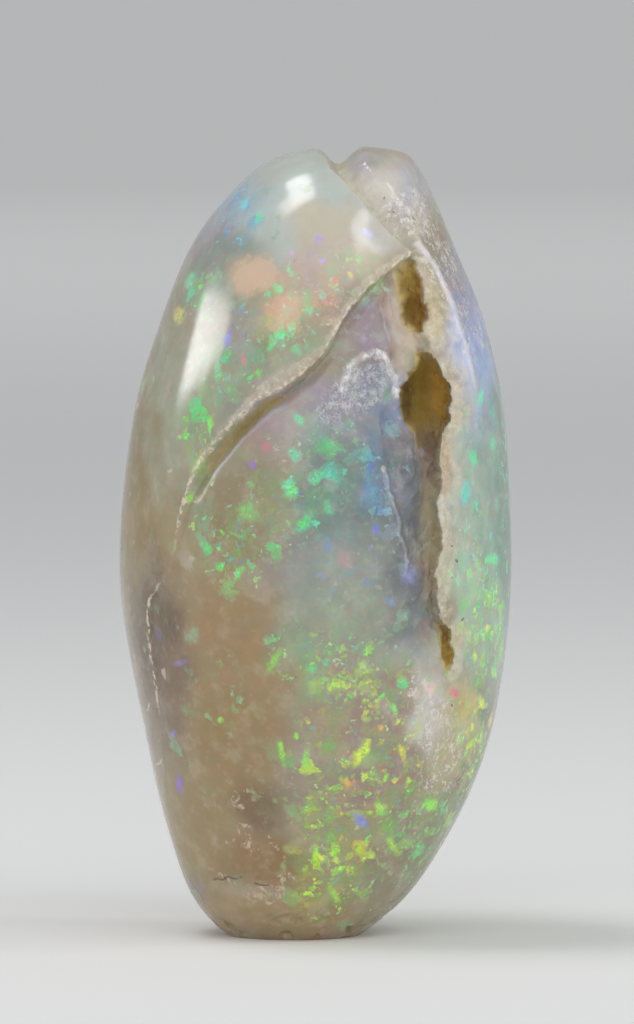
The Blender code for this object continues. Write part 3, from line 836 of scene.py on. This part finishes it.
# Single flakes that stand out: x, z, half width, half height, lean in degrees, colour on screen
FLAKES = (
    (-0.9, 26.7, 0.35, 0.22, 50, (84, 214, 160)),
    (-1.1, 24.9, 0.42, 0.26, 60, (86, 206, 150)),
    (-1.3, 23.2, 0.5, 0.34, 50, (92, 232, 150)),
    (-0.1, 23.8, 0.4, 0.26, -30, (84, 210, 156)),
    (-0.5, 21.6, 0.3, 0.6, 35, (72, 214, 130)),
    (0.6, 22.3, 0.4, 0.22, 70, (86, 200, 130)),
    (-3.35, 22.1, 0.45, 0.5, 0, (128, 196, 110)),
    (-4.7, 19.3, 0.3, 0.22, 40, (86, 226, 120)),
    (-5.4, 20.1, 0.24, 0.3, 0, (86, 214, 120)),
    (-3.9, 19.0, 0.22, 0.34, 20, (100, 224, 116)),
    (2.7, 23.1, 0.45, 0.6, 10, (78, 138, 172)),
    (4.6, 18.9, 0.34, 0.5, 10, (126, 128, 178)),
    (3.7, 17.6, 0.3, 0.24, 0, (120, 140, 180)),
    (1.5, 19.7, 0.42, 0.44, 30, (172, 138, 140)),
    (2.3, 9.9, 0.28, 0.85, 28, (206, 236, 66)),
    (1.6, 8.5, 0.32, 0.36, 40, (226, 184, 66)),
    (-1.7, 9.9, 0.16, 0.65, -8, (128, 224, 72)),
    (-1.0, 10.6, 0.42, 0.18, 80, (128, 224, 72)),
    (-0.5, 9.7, 0.16, 0.55, 10, (120, 216, 84)),
    (4.3, 9.9, 0.4, 0.18, 75, (206, 214, 70)),
    (5.8, 7.0, 0.4, 0.26, 60, (126, 240, 76)),
    (3.25, 6.9, 0.45, 0.3, 70, (146, 226, 92)),
    (2.3, 6.35, 0.26, 0.4, -50, (112, 124, 222)),
    (0.9, 4.9, 0.35, 0.4, 20, (166, 236, 56)),
    (0.0, 4.7, 0.14, 0.36, 15, (156, 232, 60)),
    (2.1, 5.0, 0.5, 0.5, 0, (196, 196, 72)),
    (3.25, 11.2, 0.14, 0.14, 0, (238, 172, 96)),
    (4.4, 13.4, 0.36, 0.26, 0, (60, 220, 152)),
    (0.9, 13.4, 0.26, 0.34, 20, (170, 226, 66)),
    (-0.2, 14.2, 0.22, 0.26, 0, (96, 214, 110)),
    (-2.1, 14.6, 0.18, 0.55, 30, (130, 210, 84)),
    (3.9, 12.1, 0.3, 0.16, 60, (120, 224, 110)),
    (7.2, 10.4, 0.16, 0.28, 10, (96, 232, 120)),
    (8.35, 12.1, 0.14, 0.4, -12, (222, 232, 70)),
    (8.85, 11.0, 0.13, 0.45, 8, (214, 196, 84)),
    (8.7, 9.4, 0.12, 0.3, 10, (84, 226, 120)),
    (6.95, 12.8, 0.24, 0.2, 60, (214, 92, 108)),
    (5.7, 13.1, 0.3, 0.34, 0, (226, 176, 182)),
    (-6.9, 8.0, 0.16, 0.46, -10, (120, 96, 216)),
    (-7.2, 10.6, 0.1, 0.2, 20, (132, 112, 206)),
    (-6.85, 14.3, 0.14, 0.3, 70, (132, 116, 186)),
    (-7.9, 15.6, 0.15, 0.34, 0, (112, 98, 144)),
    (-6.2, 15.7, 0.36, 0.4, 20, (134, 166, 138)),
    (-4.8, 11.5, 0.14, 0.14, 0, (120, 220, 96)),
    (0.15, 35.6, 0.16, 0.26, 20, (176, 146, 232)),
    (0.3, 34.6, 0.18, 0.2, 0, (186, 150, 230)),
    (2.6, 35.9, 0.3, 0.16, 40, (206, 196, 240)),
    (-1.2, 34.9, 0.18, 0.14, 0, (206, 164, 210)),
    (-2.2, 30.4, 0.16, 0.3, 30, (96, 206, 150)),
    (1.0, 33.5, 0.16, 0.22, 0, (222, 130, 128)),
    (2.1, 34.5, 0.16, 0.2, 30, (140, 216, 124)),
    (1.7, 33.9, 0.14, 0.22, -20, (206, 206, 120)),
    (0.3, 32.8, 0.2, 0.26, 20, (110, 206, 160)),
    (-0.3, 32.1, 0.24, 0.24, 0, (104, 206, 150)),
    (-1.35, 34.1, 0.22, 0.32, -20, (122, 214, 166)),
    (-1.2, 31.2, 0.26, 0.24, 30, (100, 212, 140)),
    (-2.9, 36.6, 0.16, 0.4, 30, (96, 206, 176)),
    (-3.6, 29.6, 0.2, 0.32, -10, (206, 128, 138)),
    (-4.4, 30.6, 0.16, 0.42, 20, (142, 138, 222)),
    (-4.9, 28.9, 0.16, 0.48, 0, (110, 206, 140)),
    (-2.9, 29.0, 0.22, 0.22, 0, (116, 216, 92)),
    (-1.0, 30.2, 0.34, 0.2, 60, (84, 206, 130)),
    (-1.9, 33.2, 0.2, 0.34, -20, (122, 220, 160)),
    (-6.35, 33.4, 0.2, 0.42, 25, (120, 206, 166)),
    (-6.9, 31.7, 0.24, 0.4, 10, (206, 202, 110)),
    (-3.6, 37.3, 0.16, 0.4, 35, (112, 196, 206)),
    (-2.5, 25.3, 0.2, 0.2, 0, (206, 96, 112)),
    (-3.2, 24.4, 0.18, 0.2, 0, (150, 110, 200)),
    (-5.3, 26.5, 0.18, 0.26, 0, (124, 216, 96)),
    (-6.3, 22.7, 0.18, 0.28, 20, (140, 216, 84)),
    (8.3, 27.6, 0.13, 0.45, 8, (96, 226, 176)),
    (7.9, 24.6, 0.16, 0.42, -14, (80, 226, 170)),
    (8.9, 25.2, 0.12, 0.36, 6, (84, 214, 150)),
    (7.5, 22.9, 0.26, 0.6, 6, (84, 210, 200)),
    (8.9, 19.4, 0.34, 0.26, 40, (96, 236, 150)),
    (8.6, 15.9, 0.14, 0.2, 20, (206, 232, 96)),
    (8.0, 14.5, 0.12, 0.24, 0, (196, 232, 84)),
    (9.0, 13.6, 0.12, 0.34, -6, (120, 226, 96)),
    (0.9, 2.5, 0.62, 0.16, 62, (150, 214, 72)),
    (3.9, 4.9, 0.18, 0.55, -30, (166, 222, 76)),
    (3.0, 21.2, 0.18, 0.36, 0, (100, 122, 216)),
)

# Scars, seams and pits, in the same way as the single flakes
SCARS = (
    (-4.5, 3.25, 0.07, 0.7, 82, (62, 54, 48)),
    (-2.7, 3.05, 0.05, 0.45, 96, (84, 72, 60)),
    (6.85, 20.2, 0.05, 0.06, 0, (26, 22, 18)),
    (7.0, 19.5, 0.07, 0.09, 20, (26, 22, 18)),
    (6.9, 18.7, 0.04, 0.05, 0, (40, 34, 26)),
    (7.4, 16.5, 0.07, 0.08, 0, (30, 26, 22)),
    (6.8, 12.1, 0.06, 0.07, 0, (34, 26, 26)),
    (3.1, 18.3, 0.1, 0.2, -50, (186, 176, 170)),
    (5.3, 24.9, 0.14, 0.28, -40, (190, 178, 200)),
    (3.4, 24.2, 0.1, 0.16, -10, (214, 212, 196)),
    (4.9, 36.6, 0.06, 0.07, 0, (120, 106, 84)),
    (3.4, 37.5, 0.05, 0.06, 0, (96, 82, 64)),
    (3.9, 36.9, 0.05, 0.05, 0, (110, 96, 76)),
    (-3.0, 33.8, 0.85, 1.15, 80, (222, 194, 170)),
    (-1.7, 32.0, 0.85, 0.95, 20, (224, 180, 152)),
    (-6.45, 19.6, 0.36, 0.44, 0, (186, 168, 158)),
    (-9.2, 26.9, 0.12, 0.35, 40, (222, 206, 176)),
    (-7.35, 24.0, 0.1, 0.1, 0, (222, 206, 176)),
    (-7.65, 13.7, 0.09, 0.28, -10, (222, 210, 192)),
    (-8.5, 11.8, 0.05, 0.24, 12, (222, 210, 192)),
    (-7.95, 9.0, 0.05, 0.26, 30, (222, 210, 192)),
)
SCAR_WOBBLE = 0.14
MARK_GAP = 0.55

# Towards the fossil's back, the patches drift away from the front's and calm down
BEHIND = (-2.0, 8.0)
BACK_DRIFT = 7.0
BACK_GRAIN = 9.0
BACK_CALM = 0.5


def linear(red, green, blue):
    """A colour as seen on a screen, 0 to 255, turned to the linear one that a shader takes."""
    return ((np.array([red, green, blue]) / 255.0 + 0.055) / 1.055) ** 2.4


def patch(x, z, place):
    """1 in the middle of an oval patch, 0 outside. It goes right through the stone."""
    return oval(x, z, (*place, 0.0), 1.0 - PATCH_SOFT, 1.0 + PATCH_SOFT)


def painted(x, z, patches, ground, full=1.0):
    """Each place's colour: soft patches over the ground colour, opaque from the full strength up."""
    colours = np.tile(linear(*ground), (len(x), 1))
    for *place, tint, strength in patches:
        here = min(strength / full, 1.0) * patch(x, z, place)
        colours += here[:, None] * (linear(*tint) - colours)
    return colours


def marks(x, z, table):
    """Each place's nearest mark: how far off it is across and along, in halves of its size, how
    clearly it is the nearest, and its colour."""
    at_x, at_z, wide, tall, lean = columns([row[:5] for row in table])
    lean = np.radians(lean)
    off_x, off_z = x[:, None] - at_x, z[:, None] - at_z
    along = off_x * np.sin(lean) + off_z * np.cos(lean)
    across = off_x * np.cos(lean) - off_z * np.sin(lean)
    long_way = np.maximum(np.abs(along) - np.maximum(tall - wide, 0.0), 0.0)
    distance = np.hypot(across, long_way)
    nearest = distance.argmin(axis=1)
    rows = np.arange(len(x))
    ordered = np.partition(distance, 1, axis=1)
    clear = np.clip((ordered[:, 1] - ordered[:, 0]) / MARK_GAP, 0.0, 1.0)
    colours = np.array([linear(*row[5]) for row in table])[nearest]
    return (across / wide)[rows, nearest], (along / tall)[rows, nearest], clear, colours


def write(name, values):
    """Store a value or a colour for each vertex of the skin."""
    if values.ndim == 2:
        layer = skin.attributes.new(name, "FLOAT_COLOR", "POINT")
        layer.data.foreach_set("color", np.column_stack([values, np.ones(len(values))]).ravel())
    else:
        skin.attributes.new(name, "FLOAT", "POINT").data.foreach_set("value", values)


skin_places = np.array([vert.co[:] for vert in skin.vertices]) / MM
x, z = skin_places[:, 0], skin_places[:, 2]
behind = rise(*BEHIND, skin_places[:, 1])


def drifted(values, middling, small, wide):
    """The x or z of each place, moved by noise of these turns: a little all over, and far behind."""
    values = values + 0.8 * grain(skin_places, 2.2, middling) + 0.3 * grain(skin_places, 0.8, small)
    return values + BACK_DRIFT * behind * grain(skin_places, BACK_GRAIN, wide)


warped_x = drifted(x, 11, 12, 15)
warped_z = drifted(z, 13, 14, 16)
body_and_painted_light = painted(warped_x, warped_z, MILK_AND_PAINTED_LIGHT, MILK_GROUND)
calm = BACK_CALM * behind[:, None]
write("milk_and_painted_light", body_and_painted_light + calm * (linear(*MILK_GROUND) - body_and_painted_light))
write("fire", painted(warped_x, warped_z, FIRE, FIRE_GROUND, FULL_SHARE))
write("matrix", painted(x, z, MATRIX_AND_PAINTED_LIGHT, MATRIX_GROUND))
write("cream", painted(x, z, CREAM, CREAM_GROUND))
crown_calm = CROWN_CALM * patch(warped_x, warped_z, CROWN_WINDOW)
write("mottle", 1.0 - crown_calm - LEFT_CALM * patch(x, z, LEFT_SIDE))
write("share", FIRE_GROUND_SHARE + sum(row[5] * patch(warped_x, warped_z, row[:4]) for row in FIRE))
right_upright = RIGHT_SHARE * patch(warped_x, warped_z, RIGHT_SIDE)
write("upright", right_upright + FOOT_SHARE * patch(warped_x, warped_z, ABOVE_FOOT))
facing = rise(0.0, 2.0, -skin_places[:, 1])
for name, table, wobble in (("flake", FLAKES, 0.0), ("scar", SCARS, SCAR_WOBBLE)):
    shift_x, shift_z = wobble * grain(skin_places, 0.5, 17), wobble * grain(skin_places, 0.45, 18)
    across, along, clear, colours = marks(x + shift_x, z + shift_z, table)
    write(name + "_across", across)
    write(name + "_along", along)
    write(name + "_clear", clear * facing)
    write(name + "_colour", colours)


class Wire:
    """One socket of the opal's nodes. Sums, differences, products and quotients add Math nodes."""

    def __init__(self, tree, socket=None):
        self.tree = tree
        self.socket = socket

    def node(self, kind, settings, sockets, out=0):
        """A new node with its settings, then its sockets' values or links. Gives one output."""
        made = self.tree.nodes.new(kind)
        for name, value in settings.items():
            setattr(made, name, value)
        for name, value in sockets.items():
            if isinstance(value, Wire):
                self.tree.links.new(value.socket, made.inputs[name])
            else:
                made.inputs[name].default_value = value
        return Wire(self.tree, made.outputs[out])

    def math(self, operation, first, second=0.0):
        return self.node("ShaderNodeMath", {"operation": operation}, {0: first, 1: second})

    def __add__(self, other):
        return self.math("ADD", self, other)

    def __sub__(self, other):
        return self.math("SUBTRACT", self, other)

    def __rsub__(self, other):
        return self.math("SUBTRACT", other, self)

    def __mul__(self, other):
        return self.math("MULTIPLY", self, other)

    def __truediv__(self, other):
        return self.math("DIVIDE", self, other)

    def __rtruediv__(self, other):
        return self.math("DIVIDE", other, self)

    __radd__ = __add__
    __rmul__ = __mul__


def screen(red, green, blue):
    """A screen colour as a socket takes it."""
    return (*linear(red, green, blue).tolist(), 1.0)


def step(value, low, high):
    """0 below low, 1 above high, smooth between."""
    sockets = {"Value": value, "From Min": low, "From Max": high}
    return value.node("ShaderNodeMapRange", {"interpolation_type": "SMOOTHSTEP"}, sockets)


def lay(mask, under, over):
    """The colour under, covered by the colour over where the mask is 1."""
    settings = {"data_type": "RGBA", "clamp_factor": True}
    return mask.node("ShaderNodeMix", settings, {0: mask, 6: under, 7: over}, 2)


def coats(colour, *layers):
    """The colour under these layers, each a mask and the colour that it shows."""
    for mask, over in layers:
        colour = lay(mask, colour, over)
    return colour


def scale_point(point, scale, shift=(0.0, 0.0, 0.0)):
    """The point times a scale, plus a shift."""
    sockets = {0: point, 1: scale, 2: shift}
    return point.node("ShaderNodeVectorMath", {"operation": "MULTIPLY_ADD"}, sockets)


def cloud(point, scale, detail=2.0, out=0):
    """Soft noise around 0.5 at a scale per millimetre, or its colour at output 1."""
    sockets = {"Vector": point, "Scale": scale, "Detail": detail}
    return point.node("ShaderNodeTexNoise", {}, sockets, out)


def parts_of(colour):
    """The three parts of a colour."""
    node = colour.node("ShaderNodeSeparateColor", {}, {0: colour}).socket.node
    return [Wire(colour.tree, socket) for socket in node.outputs[:3]]


def grains(point, scale):
    """Three random numbers of each grain of the given scale, and the distance from its middle."""
    made = point.node("ShaderNodeTexVoronoi", {}, {"Vector": point, "Scale": scale}, 1)
    return parts_of(made), Wire(made.tree, made.socket.node.outputs[0])


def flakes(point, scale, share, soft):
    """How brightly the flakes of one size shine, and two random numbers of each."""
    (lit, tone, force), away = grains(point, scale)
    spread = lit * 61.0
    other = spread.math("FRACT", spread)
    reach = 0.2 + 0.5 * force
    inside = 1.0 - step(away / reach, 1.0 - soft, 1.0 + soft)
    return step(share - lit, 0.0, 0.06) * inside * (0.15 + 0.85 * tone * force), other, tone


def stored(name, out=2):
    """A value kept on the skin, or its colour at output 0."""
    return wire.node("ShaderNodeAttribute", {"attribute_name": name}, {}, out)


def turned(colour, tone, reach):
    """The colour with its hue turned a little, differently in each grain."""
    hue = (tone - 0.5) * reach + 0.5
    return colour.node("ShaderNodeHueSaturation", {}, {"Hue": hue, "Color": colour})


def marked(name, wander, soft):
    """The mask of the single marks of one kind, with a wandering outline."""
    across = stored(name + "_across") + (pinker - 0.5) * 1.3
    along = stored(name + "_along") + (greener - 0.5) * 1.3
    square = across * across + along * along
    length = square.math("SQRT", square)
    inside = 1.0 - step(length + wander, 1.0 - soft, 1.0 + soft)
    return inside * step(stored(name + "_clear"), 0.8, 1.0)


opal = bpy.data.materials.new("precious_opal")
opal.use_nodes = True
tree = opal.node_tree
shader = tree.nodes["Principled BSDF"]
wire = Wire(tree)
metres = wire.node("ShaderNodeTexCoord", {}, {}, 3)
point = scale_point(metres, (1.0 / MM, 1.0 / MM, 1.0 / MM))
milk_and_painted_light, fire, matrix = stored("milk_and_painted_light", 0), stored("fire", 0), stored("matrix", 0)
share, upright_share = stored("share"), stored("upright")
polished = 1.0 - stored("channel")

# Noise that the kinds of stone share
tear = cloud(point, 2.4, 2.0, 1)
torn = scale_point(tear, (0.8, 0.8, 0.8), point)
pinker, _, greener = parts_of(tear)
about_y = {"rotation_type": "Y_AXIS"}
leaned = torn.node("ShaderNodeVectorRotate", about_y, {"Vector": torn, "Angle": 0.4})
coarse = cloud(point, 0.75, 3.0)
rubble = cloud(point, 2.2, 3.0)
sand = cloud(point, 9.0, 1.0)
lace = cloud(scale_point(torn, (3.6, 3.6, 2.0)), 1.0, 3.0)
brushed = cloud(scale_point(leaned, (9.0, 9.0, 4.0)), 1.0, 2.0)
jitter = rubble - 0.5
speck = sand - 0.5
clumps = step(coarse, 0.42, 0.62)
shimmer = step(brushed, 0.32, 0.62)


def edge_of(name, low, high, wander):
    """A kind of stone's mask with a broken edge."""
    return step(stored(name) + jitter * wander, low, high)


# Kinds of stone
hole = edge_of("hole", 0.2, 0.6, 0.2)
crevice = edge_of("crevice", 0.35, 0.65, 0.2)
flaking = edge_of("flaking", 0.1, 0.8, 0.8)
crust = edge_of("crust", 0.15, 0.75, 0.8)
druse = edge_of("druse", 0.05, 0.85, 0.9)
lip = step(stored("lip") + jitter * 1.3 + (coarse - 0.5) * 1.0, 0.15, 1.3)
away = stored("margin_away") + jitter * 0.3
width = stored("margin_band")
band = step(away + width * 1.4, 0.0, 0.5) * (1.0 - step(away, 0.03, 0.12)) * step(width, 0.02, 0.3)
thin = (1.0 - step(away * away, 0.0010, 0.006)) * step(width, 0.04, 0.1) * step(lace, 0.42, 0.56)
rim = 1.0 - step(stored("rim_away") + jitter * 0.5, 0.02, 0.3)
# Painted highlight: a pale line along the crest of the filling's slope, where its edge catches the
# light
painted_crest_highlight = (1.0 - step(stored("crest_away") + jitter * 0.2, 0.02, 0.16)) * stored("filling")
# Painted highlight: a pale streak along the ridge crest on the right valve, where the crest reflects
# the right-hand light
painted_ridge_highlight = 1.0 - step(stored("ridge_away") + jitter * 0.12, 0.03, 0.17)
polish = (1.0 - hole) * (1.0 - crevice) * (1.0 - lip * 0.8) * (1.0 - band * 0.7) * polished
polish = polish * (1.0 - crust * 0.6) * (1.0 - druse * 0.75)

# Milk with slow changes, pink and green breaths and pale veins
pink_breath, pale_breath, green_breath = parts_of(cloud(torn, 0.9, 2.0, 1))
mottle = stored("mottle")
bone = screen(222, 218, 206)
veil = step(1.0 - coarse, 0.42, 0.62) * step(share, 0.0, 0.6)
colour = coats(
    milk_and_painted_light,
    (step(pale_breath, 0.48, 0.75) * mottle * 0.24, bone),
    (step(1.0 - pale_breath, 0.48, 0.75) * mottle * 0.22, screen(112, 106, 100)),
    (step(pink_breath, 0.48, 0.72) * mottle * 0.26, screen(190, 134, 124)),
    (step(green_breath, 0.48, 0.72) * mottle * 0.22, screen(132, 168, 132)),
    (step(rubble, 0.5, 0.8) * mottle * 0.08, bone),
    (veil * (0.1 + 0.16 * shimmer), turned(fire, green_breath, 0.5)),
)

# Flakes of colour, from wide soft ones to sparks and dust
glow_wide, tone_wide, _ = flakes(torn, 1.05, share * (0.5 + 0.7 * clumps), 0.85)
glow, tone, _ = flakes(leaned, 2.6, share * (0.1 + 0.8 * clumps), 0.6)
sparks, bit, shade = flakes(torn, 5.6, share * (0.1 + 0.2 * clumps), 0.5)
dust, tone_dust, _ = flakes(leaned, 3.6, share * (0.3 + 0.4 * clumps), 0.8)
upright = scale_point(torn, (1.0, 1.0, 0.55))
streaks, tone_streak, _ = flakes(upright, 3.2, upright_share * (0.1 + 1.1 * clumps), 0.5)
glow_wide = glow_wide * (0.45 + 0.55 * shimmer) * polish * 1.7
glow = glow * (0.4 + 0.6 * shimmer) * polish * 1.4
sparks = sparks * polish
streaks = streaks * (0.5 + 0.5 * shimmer) * polish * 1.5
single = marked("flake", jitter * 1.4 + (brushed - 0.5) * 2.0, 0.55) * (0.25 + 0.75 * shimmer)
single_colour = turned(stored("flake_colour", 0), rubble, 0.2)
bright = lay(shimmer * 0.5, turned(fire, bit, 0.12), screen(240, 250, 230))
colour = coats(
    colour,
    (dust * polish * 0.7, turned(fire, tone_dust, 0.55)),
    (glow_wide, turned(fire, tone_wide, 0.16)),
    (glow, turned(fire, tone, 0.13)),
    (streaks, turned(fire, tone_streak, 0.16)),
    (sparks * 0.8, bright),
    (single * 0.85, single_colour),
)

# Rough and pale stone, with painted highlights along the slope's crest and the right valve's ridge
fleck = step(lace + speck * 0.5, 0.48, 0.66)
crust_milk = lay(step(rubble, 0.35, 0.65) * 0.4, milk_and_painted_light, screen(168, 158, 120))
crust_pale = lay(step(pale_breath, 0.35, 0.6), screen(214, 198, 178), screen(240, 236, 234))
druse_grey = lay(bit * 0.5 + rubble * 0.4, screen(118, 120, 136), screen(184, 182, 190))
plume = step(brushed + jitter * 0.8 + (shade - 0.5) * 0.3, 0.38, 0.72)
cream = lay(step(rubble + speck * 0.6, 0.35, 0.65) * 0.5, stored("cream", 0), screen(232, 226, 210))
cream = lay(step(1.0 - rubble, 0.5, 0.72) * 0.4, cream, screen(160, 138, 106))
channel_stone = lay(step(rubble, 0.3, 0.7) * 0.4, matrix, screen(222, 212, 192))
ochre = lay(step(rubble, 0.3, 0.7) * 0.3, matrix, screen(206, 190, 150))
gritty = lay(step(1.0 - rubble + speck * 0.5, 0.5, 0.75) * 0.45, matrix, screen(164, 146, 108))
colour = coats(
    colour,
    (flaking * fleck * 0.75, screen(236, 232, 224)),
    (flaking * step(1.0 - rubble, 0.52, 0.7) * 0.35, screen(150, 142, 150)),
    (crust * 0.75, crust_milk),
    (crust * fleck * 0.7, crust_pale),
    (druse * 0.4, druse_grey),
    (druse * plume * (0.25 + 0.5 * pale_breath), screen(228, 228, 232)),
    (druse * step(shade, 0.86, 0.9) * 0.5, turned(fire, bit, 0.5)),
    (rim * (0.35 + 0.6 * step(lace, 0.4, 0.6)), screen(236, 232, 232)),
    # Painted highlight along the slope's crest
    (painted_crest_highlight * (0.3 + 0.35 * fleck), screen(182, 196, 208)),
    # Painted highlight along the ridge
    (painted_ridge_highlight * (0.5 + 0.4 * shimmer), screen(232, 228, 240)),
    (edge_of("scuffs", 0.3, 0.6, 0.5) * step(lace, 0.46, 0.66) * 0.6, screen(226, 212, 190)),
    (band * (0.35 + 0.35 * fleck), cream),
    (thin * 0.8, screen(232, 218, 196)),
    (lip * (0.6 + 0.3 * fleck), cream),
    (stored("channel") * 0.9, channel_stone),
    (edge_of("cleft", 0.25, 1.05, 0.5) * 0.85, gritty),
    (step(stored("lower_lip") + coarse - 0.5, 0.2, 0.9) * 0.6, screen(194, 182, 198)),
    (crevice, ochre),
    (hole, ochre),
    (marked("scar", jitter * 0.9, 0.22) * 0.62, stored("scar_colour", 0)),
)

# Painted glow: weak emission in the flakes' colours, the same in every view
painted_glow = coats(
    (0.0, 0.0, 0.0, 1.0),
    (glow + sparks + streaks + glow_wide * 0.3, turned(fire, tone, 0.2)),
    (single * 0.9, single_colour),
)

# How much each kind of stone lacks of the polish
DULLNESS = {
    "hole": 0.5,
    "crevice": 0.45,
    "cleft": 0.4,
    "lip": 0.35,
    "crust": 0.3,
    "flaking": 0.12,
    "druse": 0.25,
    "channel": 0.35,
    "slope": 0.25,
    "filling": 0.16,
}
dull = sum(lack * stored(kind) for kind, lack in DULLNESS.items())
roughness = 0.12 + 0.06 * rubble + dull + 0.25 * band
bump_height = (rubble + sand * 0.6) * dull
bump = wire.node("ShaderNodeBump", {}, {"Strength": 0.6, "Distance": 0.00012, "Height": bump_height})

for name, wired in (
    ("Base Color", colour),
    ("Emission Color", painted_glow),
    ("Roughness", roughness),
    ("Normal", bump),
):
    tree.links.new(wired.socket, shader.inputs[name])
for name, value in (
    ("Emission Strength", 0.3),
    ("IOR", 1.5),
    ("Specular IOR Level", 0.8),
    ("Subsurface Weight", 0.45),
    ("Subsurface Radius", (1.0, 0.85, 0.7)),
    ("Subsurface Scale", 1.6 * MM),
):
    shader.inputs[name].default_value = value

# The glow is too weak to light anything else, so it isn't sampled as a lamp
opal.cycles.emission_sampling = "NONE"
skin.materials.append(opal)
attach(fossil, "root")
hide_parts("opalized_clam")

# Studio
# A pale sweep of paper with a light of its own, strips of soft light on each side, soft lights above
# and in front, and a pale room. The camera looks straight at the slot from so far away that the
# fossil shows almost no perspective.
SCALE = 0.0508 * MM
PICTURE_HEIGHT = 1024
LENS = 400.0
SENSOR = 36.0
MIDDLE = Vector((0.05, 0.0, 21.5)) * MM
TILT = math.radians(3.0)

paper = bpy.data.meshes.new("paper_sweep")
sweep = bmesh.new()
bmesh.ops.create_grid(sweep, x_segments=1, y_segments=1, size=2.0)
bmesh.ops.scale(sweep, verts=sweep.verts[:], vec=(1.0, 0.65, 1.0))
bmesh.ops.translate(sweep, verts=sweep.verts[:], vec=(0.0, 0.3, 0.0))
bend = [math.radians(7.5 * part) for part in range(1, 13)]
runs = [(0.0, 0.1 * math.cos(angle), 0.1 * math.sin(angle)) for angle in bend]
back = [edge for edge in sweep.edges if all(v.co.y > 1.5 for v in edge.verts)]
for run in runs + [(0.0, 0.0, 2.0)]:
    out = bmesh.ops.extrude_edge_only(sweep, edges=back)["geom"]
    moved = [item for item in out if isinstance(item, bmesh.types.BMVert)]
    bmesh.ops.translate(sweep, verts=moved, vec=run)
    back = [item for item in out if isinstance(item, bmesh.types.BMEdge)]
bmesh.ops.recalc_face_normals(sweep, faces=sweep.faces[:])
sweep.to_mesh(paper)
sweep.free()
paper.shade_smooth()
backdrop = bpy.data.objects.new("paper_sweep", paper)
bpy.context.scene.collection.objects.link(backdrop)
matt = bpy.data.materials.new("pale_paper")
matt.use_nodes = True
sheet = matt.node_tree.nodes["Principled BSDF"].inputs
sheet["Base Color"].default_value = (0.88, 0.875, 0.86, 1.0)
sheet["Roughness"].default_value = 0.8
paper.materials.append(matt)


def heading(turn, lift):
    """The direction at these degrees to the right of the camera's side and above the level."""
    turn, lift = math.radians(turn), math.radians(lift)
    return math.cos(lift) * math.sin(turn), -math.cos(lift) * math.cos(turn), math.sin(lift)


def soft_light(name, direction, away, wide, tall, power, roll=0.0, aim=MIDDLE):
    """A rectangle of soft light in this direction from the fossil. It faces the fossil or its aim."""
    lamp = bpy.data.lights.new(name, "AREA")
    lamp.shape = "RECTANGLE"
    lamp.size = wide
    lamp.size_y = tall
    lamp.energy = power
    holder = bpy.data.objects.new(name, lamp)
    place = MIDDLE + Vector(direction).normalized() * away
    facing = (aim - place).to_track_quat("-Z", "Y").to_matrix().to_4x4()
    rolled = Matrix.Rotation(math.radians(roll), 4, "Z")
    holder.matrix_world = Matrix.Translation(place) @ facing @ rolled
    bpy.context.scene.collection.objects.link(holder)


soft_light("left_strip", heading(-96.5, 23.0), 0.35, 0.19, 0.028, 0.105, 13.0)
soft_light("left_strip_middle", heading(-99.0, 18.8), 0.35, 0.13, 0.026, 0.050, 15.0)
soft_light("left_strip_tail", heading(-104.0, 14.8), 0.35, 0.07, 0.026, 0.014, 15.0)
soft_light("right_strip", (0.92, 0.02, 0.42), 0.35, 0.06, 0.12, 0.16)
soft_light("top_light", (-0.30, 0.04, 0.95), 0.35, 0.165, 0.08, 0.24, 14.0)
soft_light("top_tail", (-0.44, -0.10, 0.89), 0.35, 0.08, 0.05, 0.04)
soft_light("sheen_light", (0.47, -0.42, 0.77), 0.4, 0.13, 0.09, 0.11)
soft_light("front_fill", (0.1, -0.95, 0.35), 1.0, 1.6, 1.2, 6.0)
soft_light("paper_light", (0.0, 1.0, 0.78), 1.27, 1.6, 0.6, 2.4, aim=Vector((0.0, 1.6, 0.0)))

room = bpy.data.worlds.new("pale_room")
bpy.context.scene.world = room
room.use_nodes = True
air = room.node_tree.nodes["Background"].inputs
air["Color"].default_value = (0.93, 0.96, 1.0, 1.0)
air["Strength"].default_value = 0.38

lens = bpy.data.cameras.new("camera")
lens.lens = LENS
lens.sensor_width = SENSOR
lens.clip_end = 10.0
camera = bpy.data.objects.new("camera", lens)
away = PICTURE_HEIGHT * SCALE * LENS / SENSOR
camera.location = MIDDLE + Vector((0.0, -math.cos(TILT), math.sin(TILT))) * away
camera.rotation_euler = Euler((math.radians(90.0) - TILT, 0.0, 0.0))
bpy.context.scene.collection.objects.link(camera)
bpy.context.scene.camera = camera
bpy.context.scene.view_settings.view_transform = "Standard"
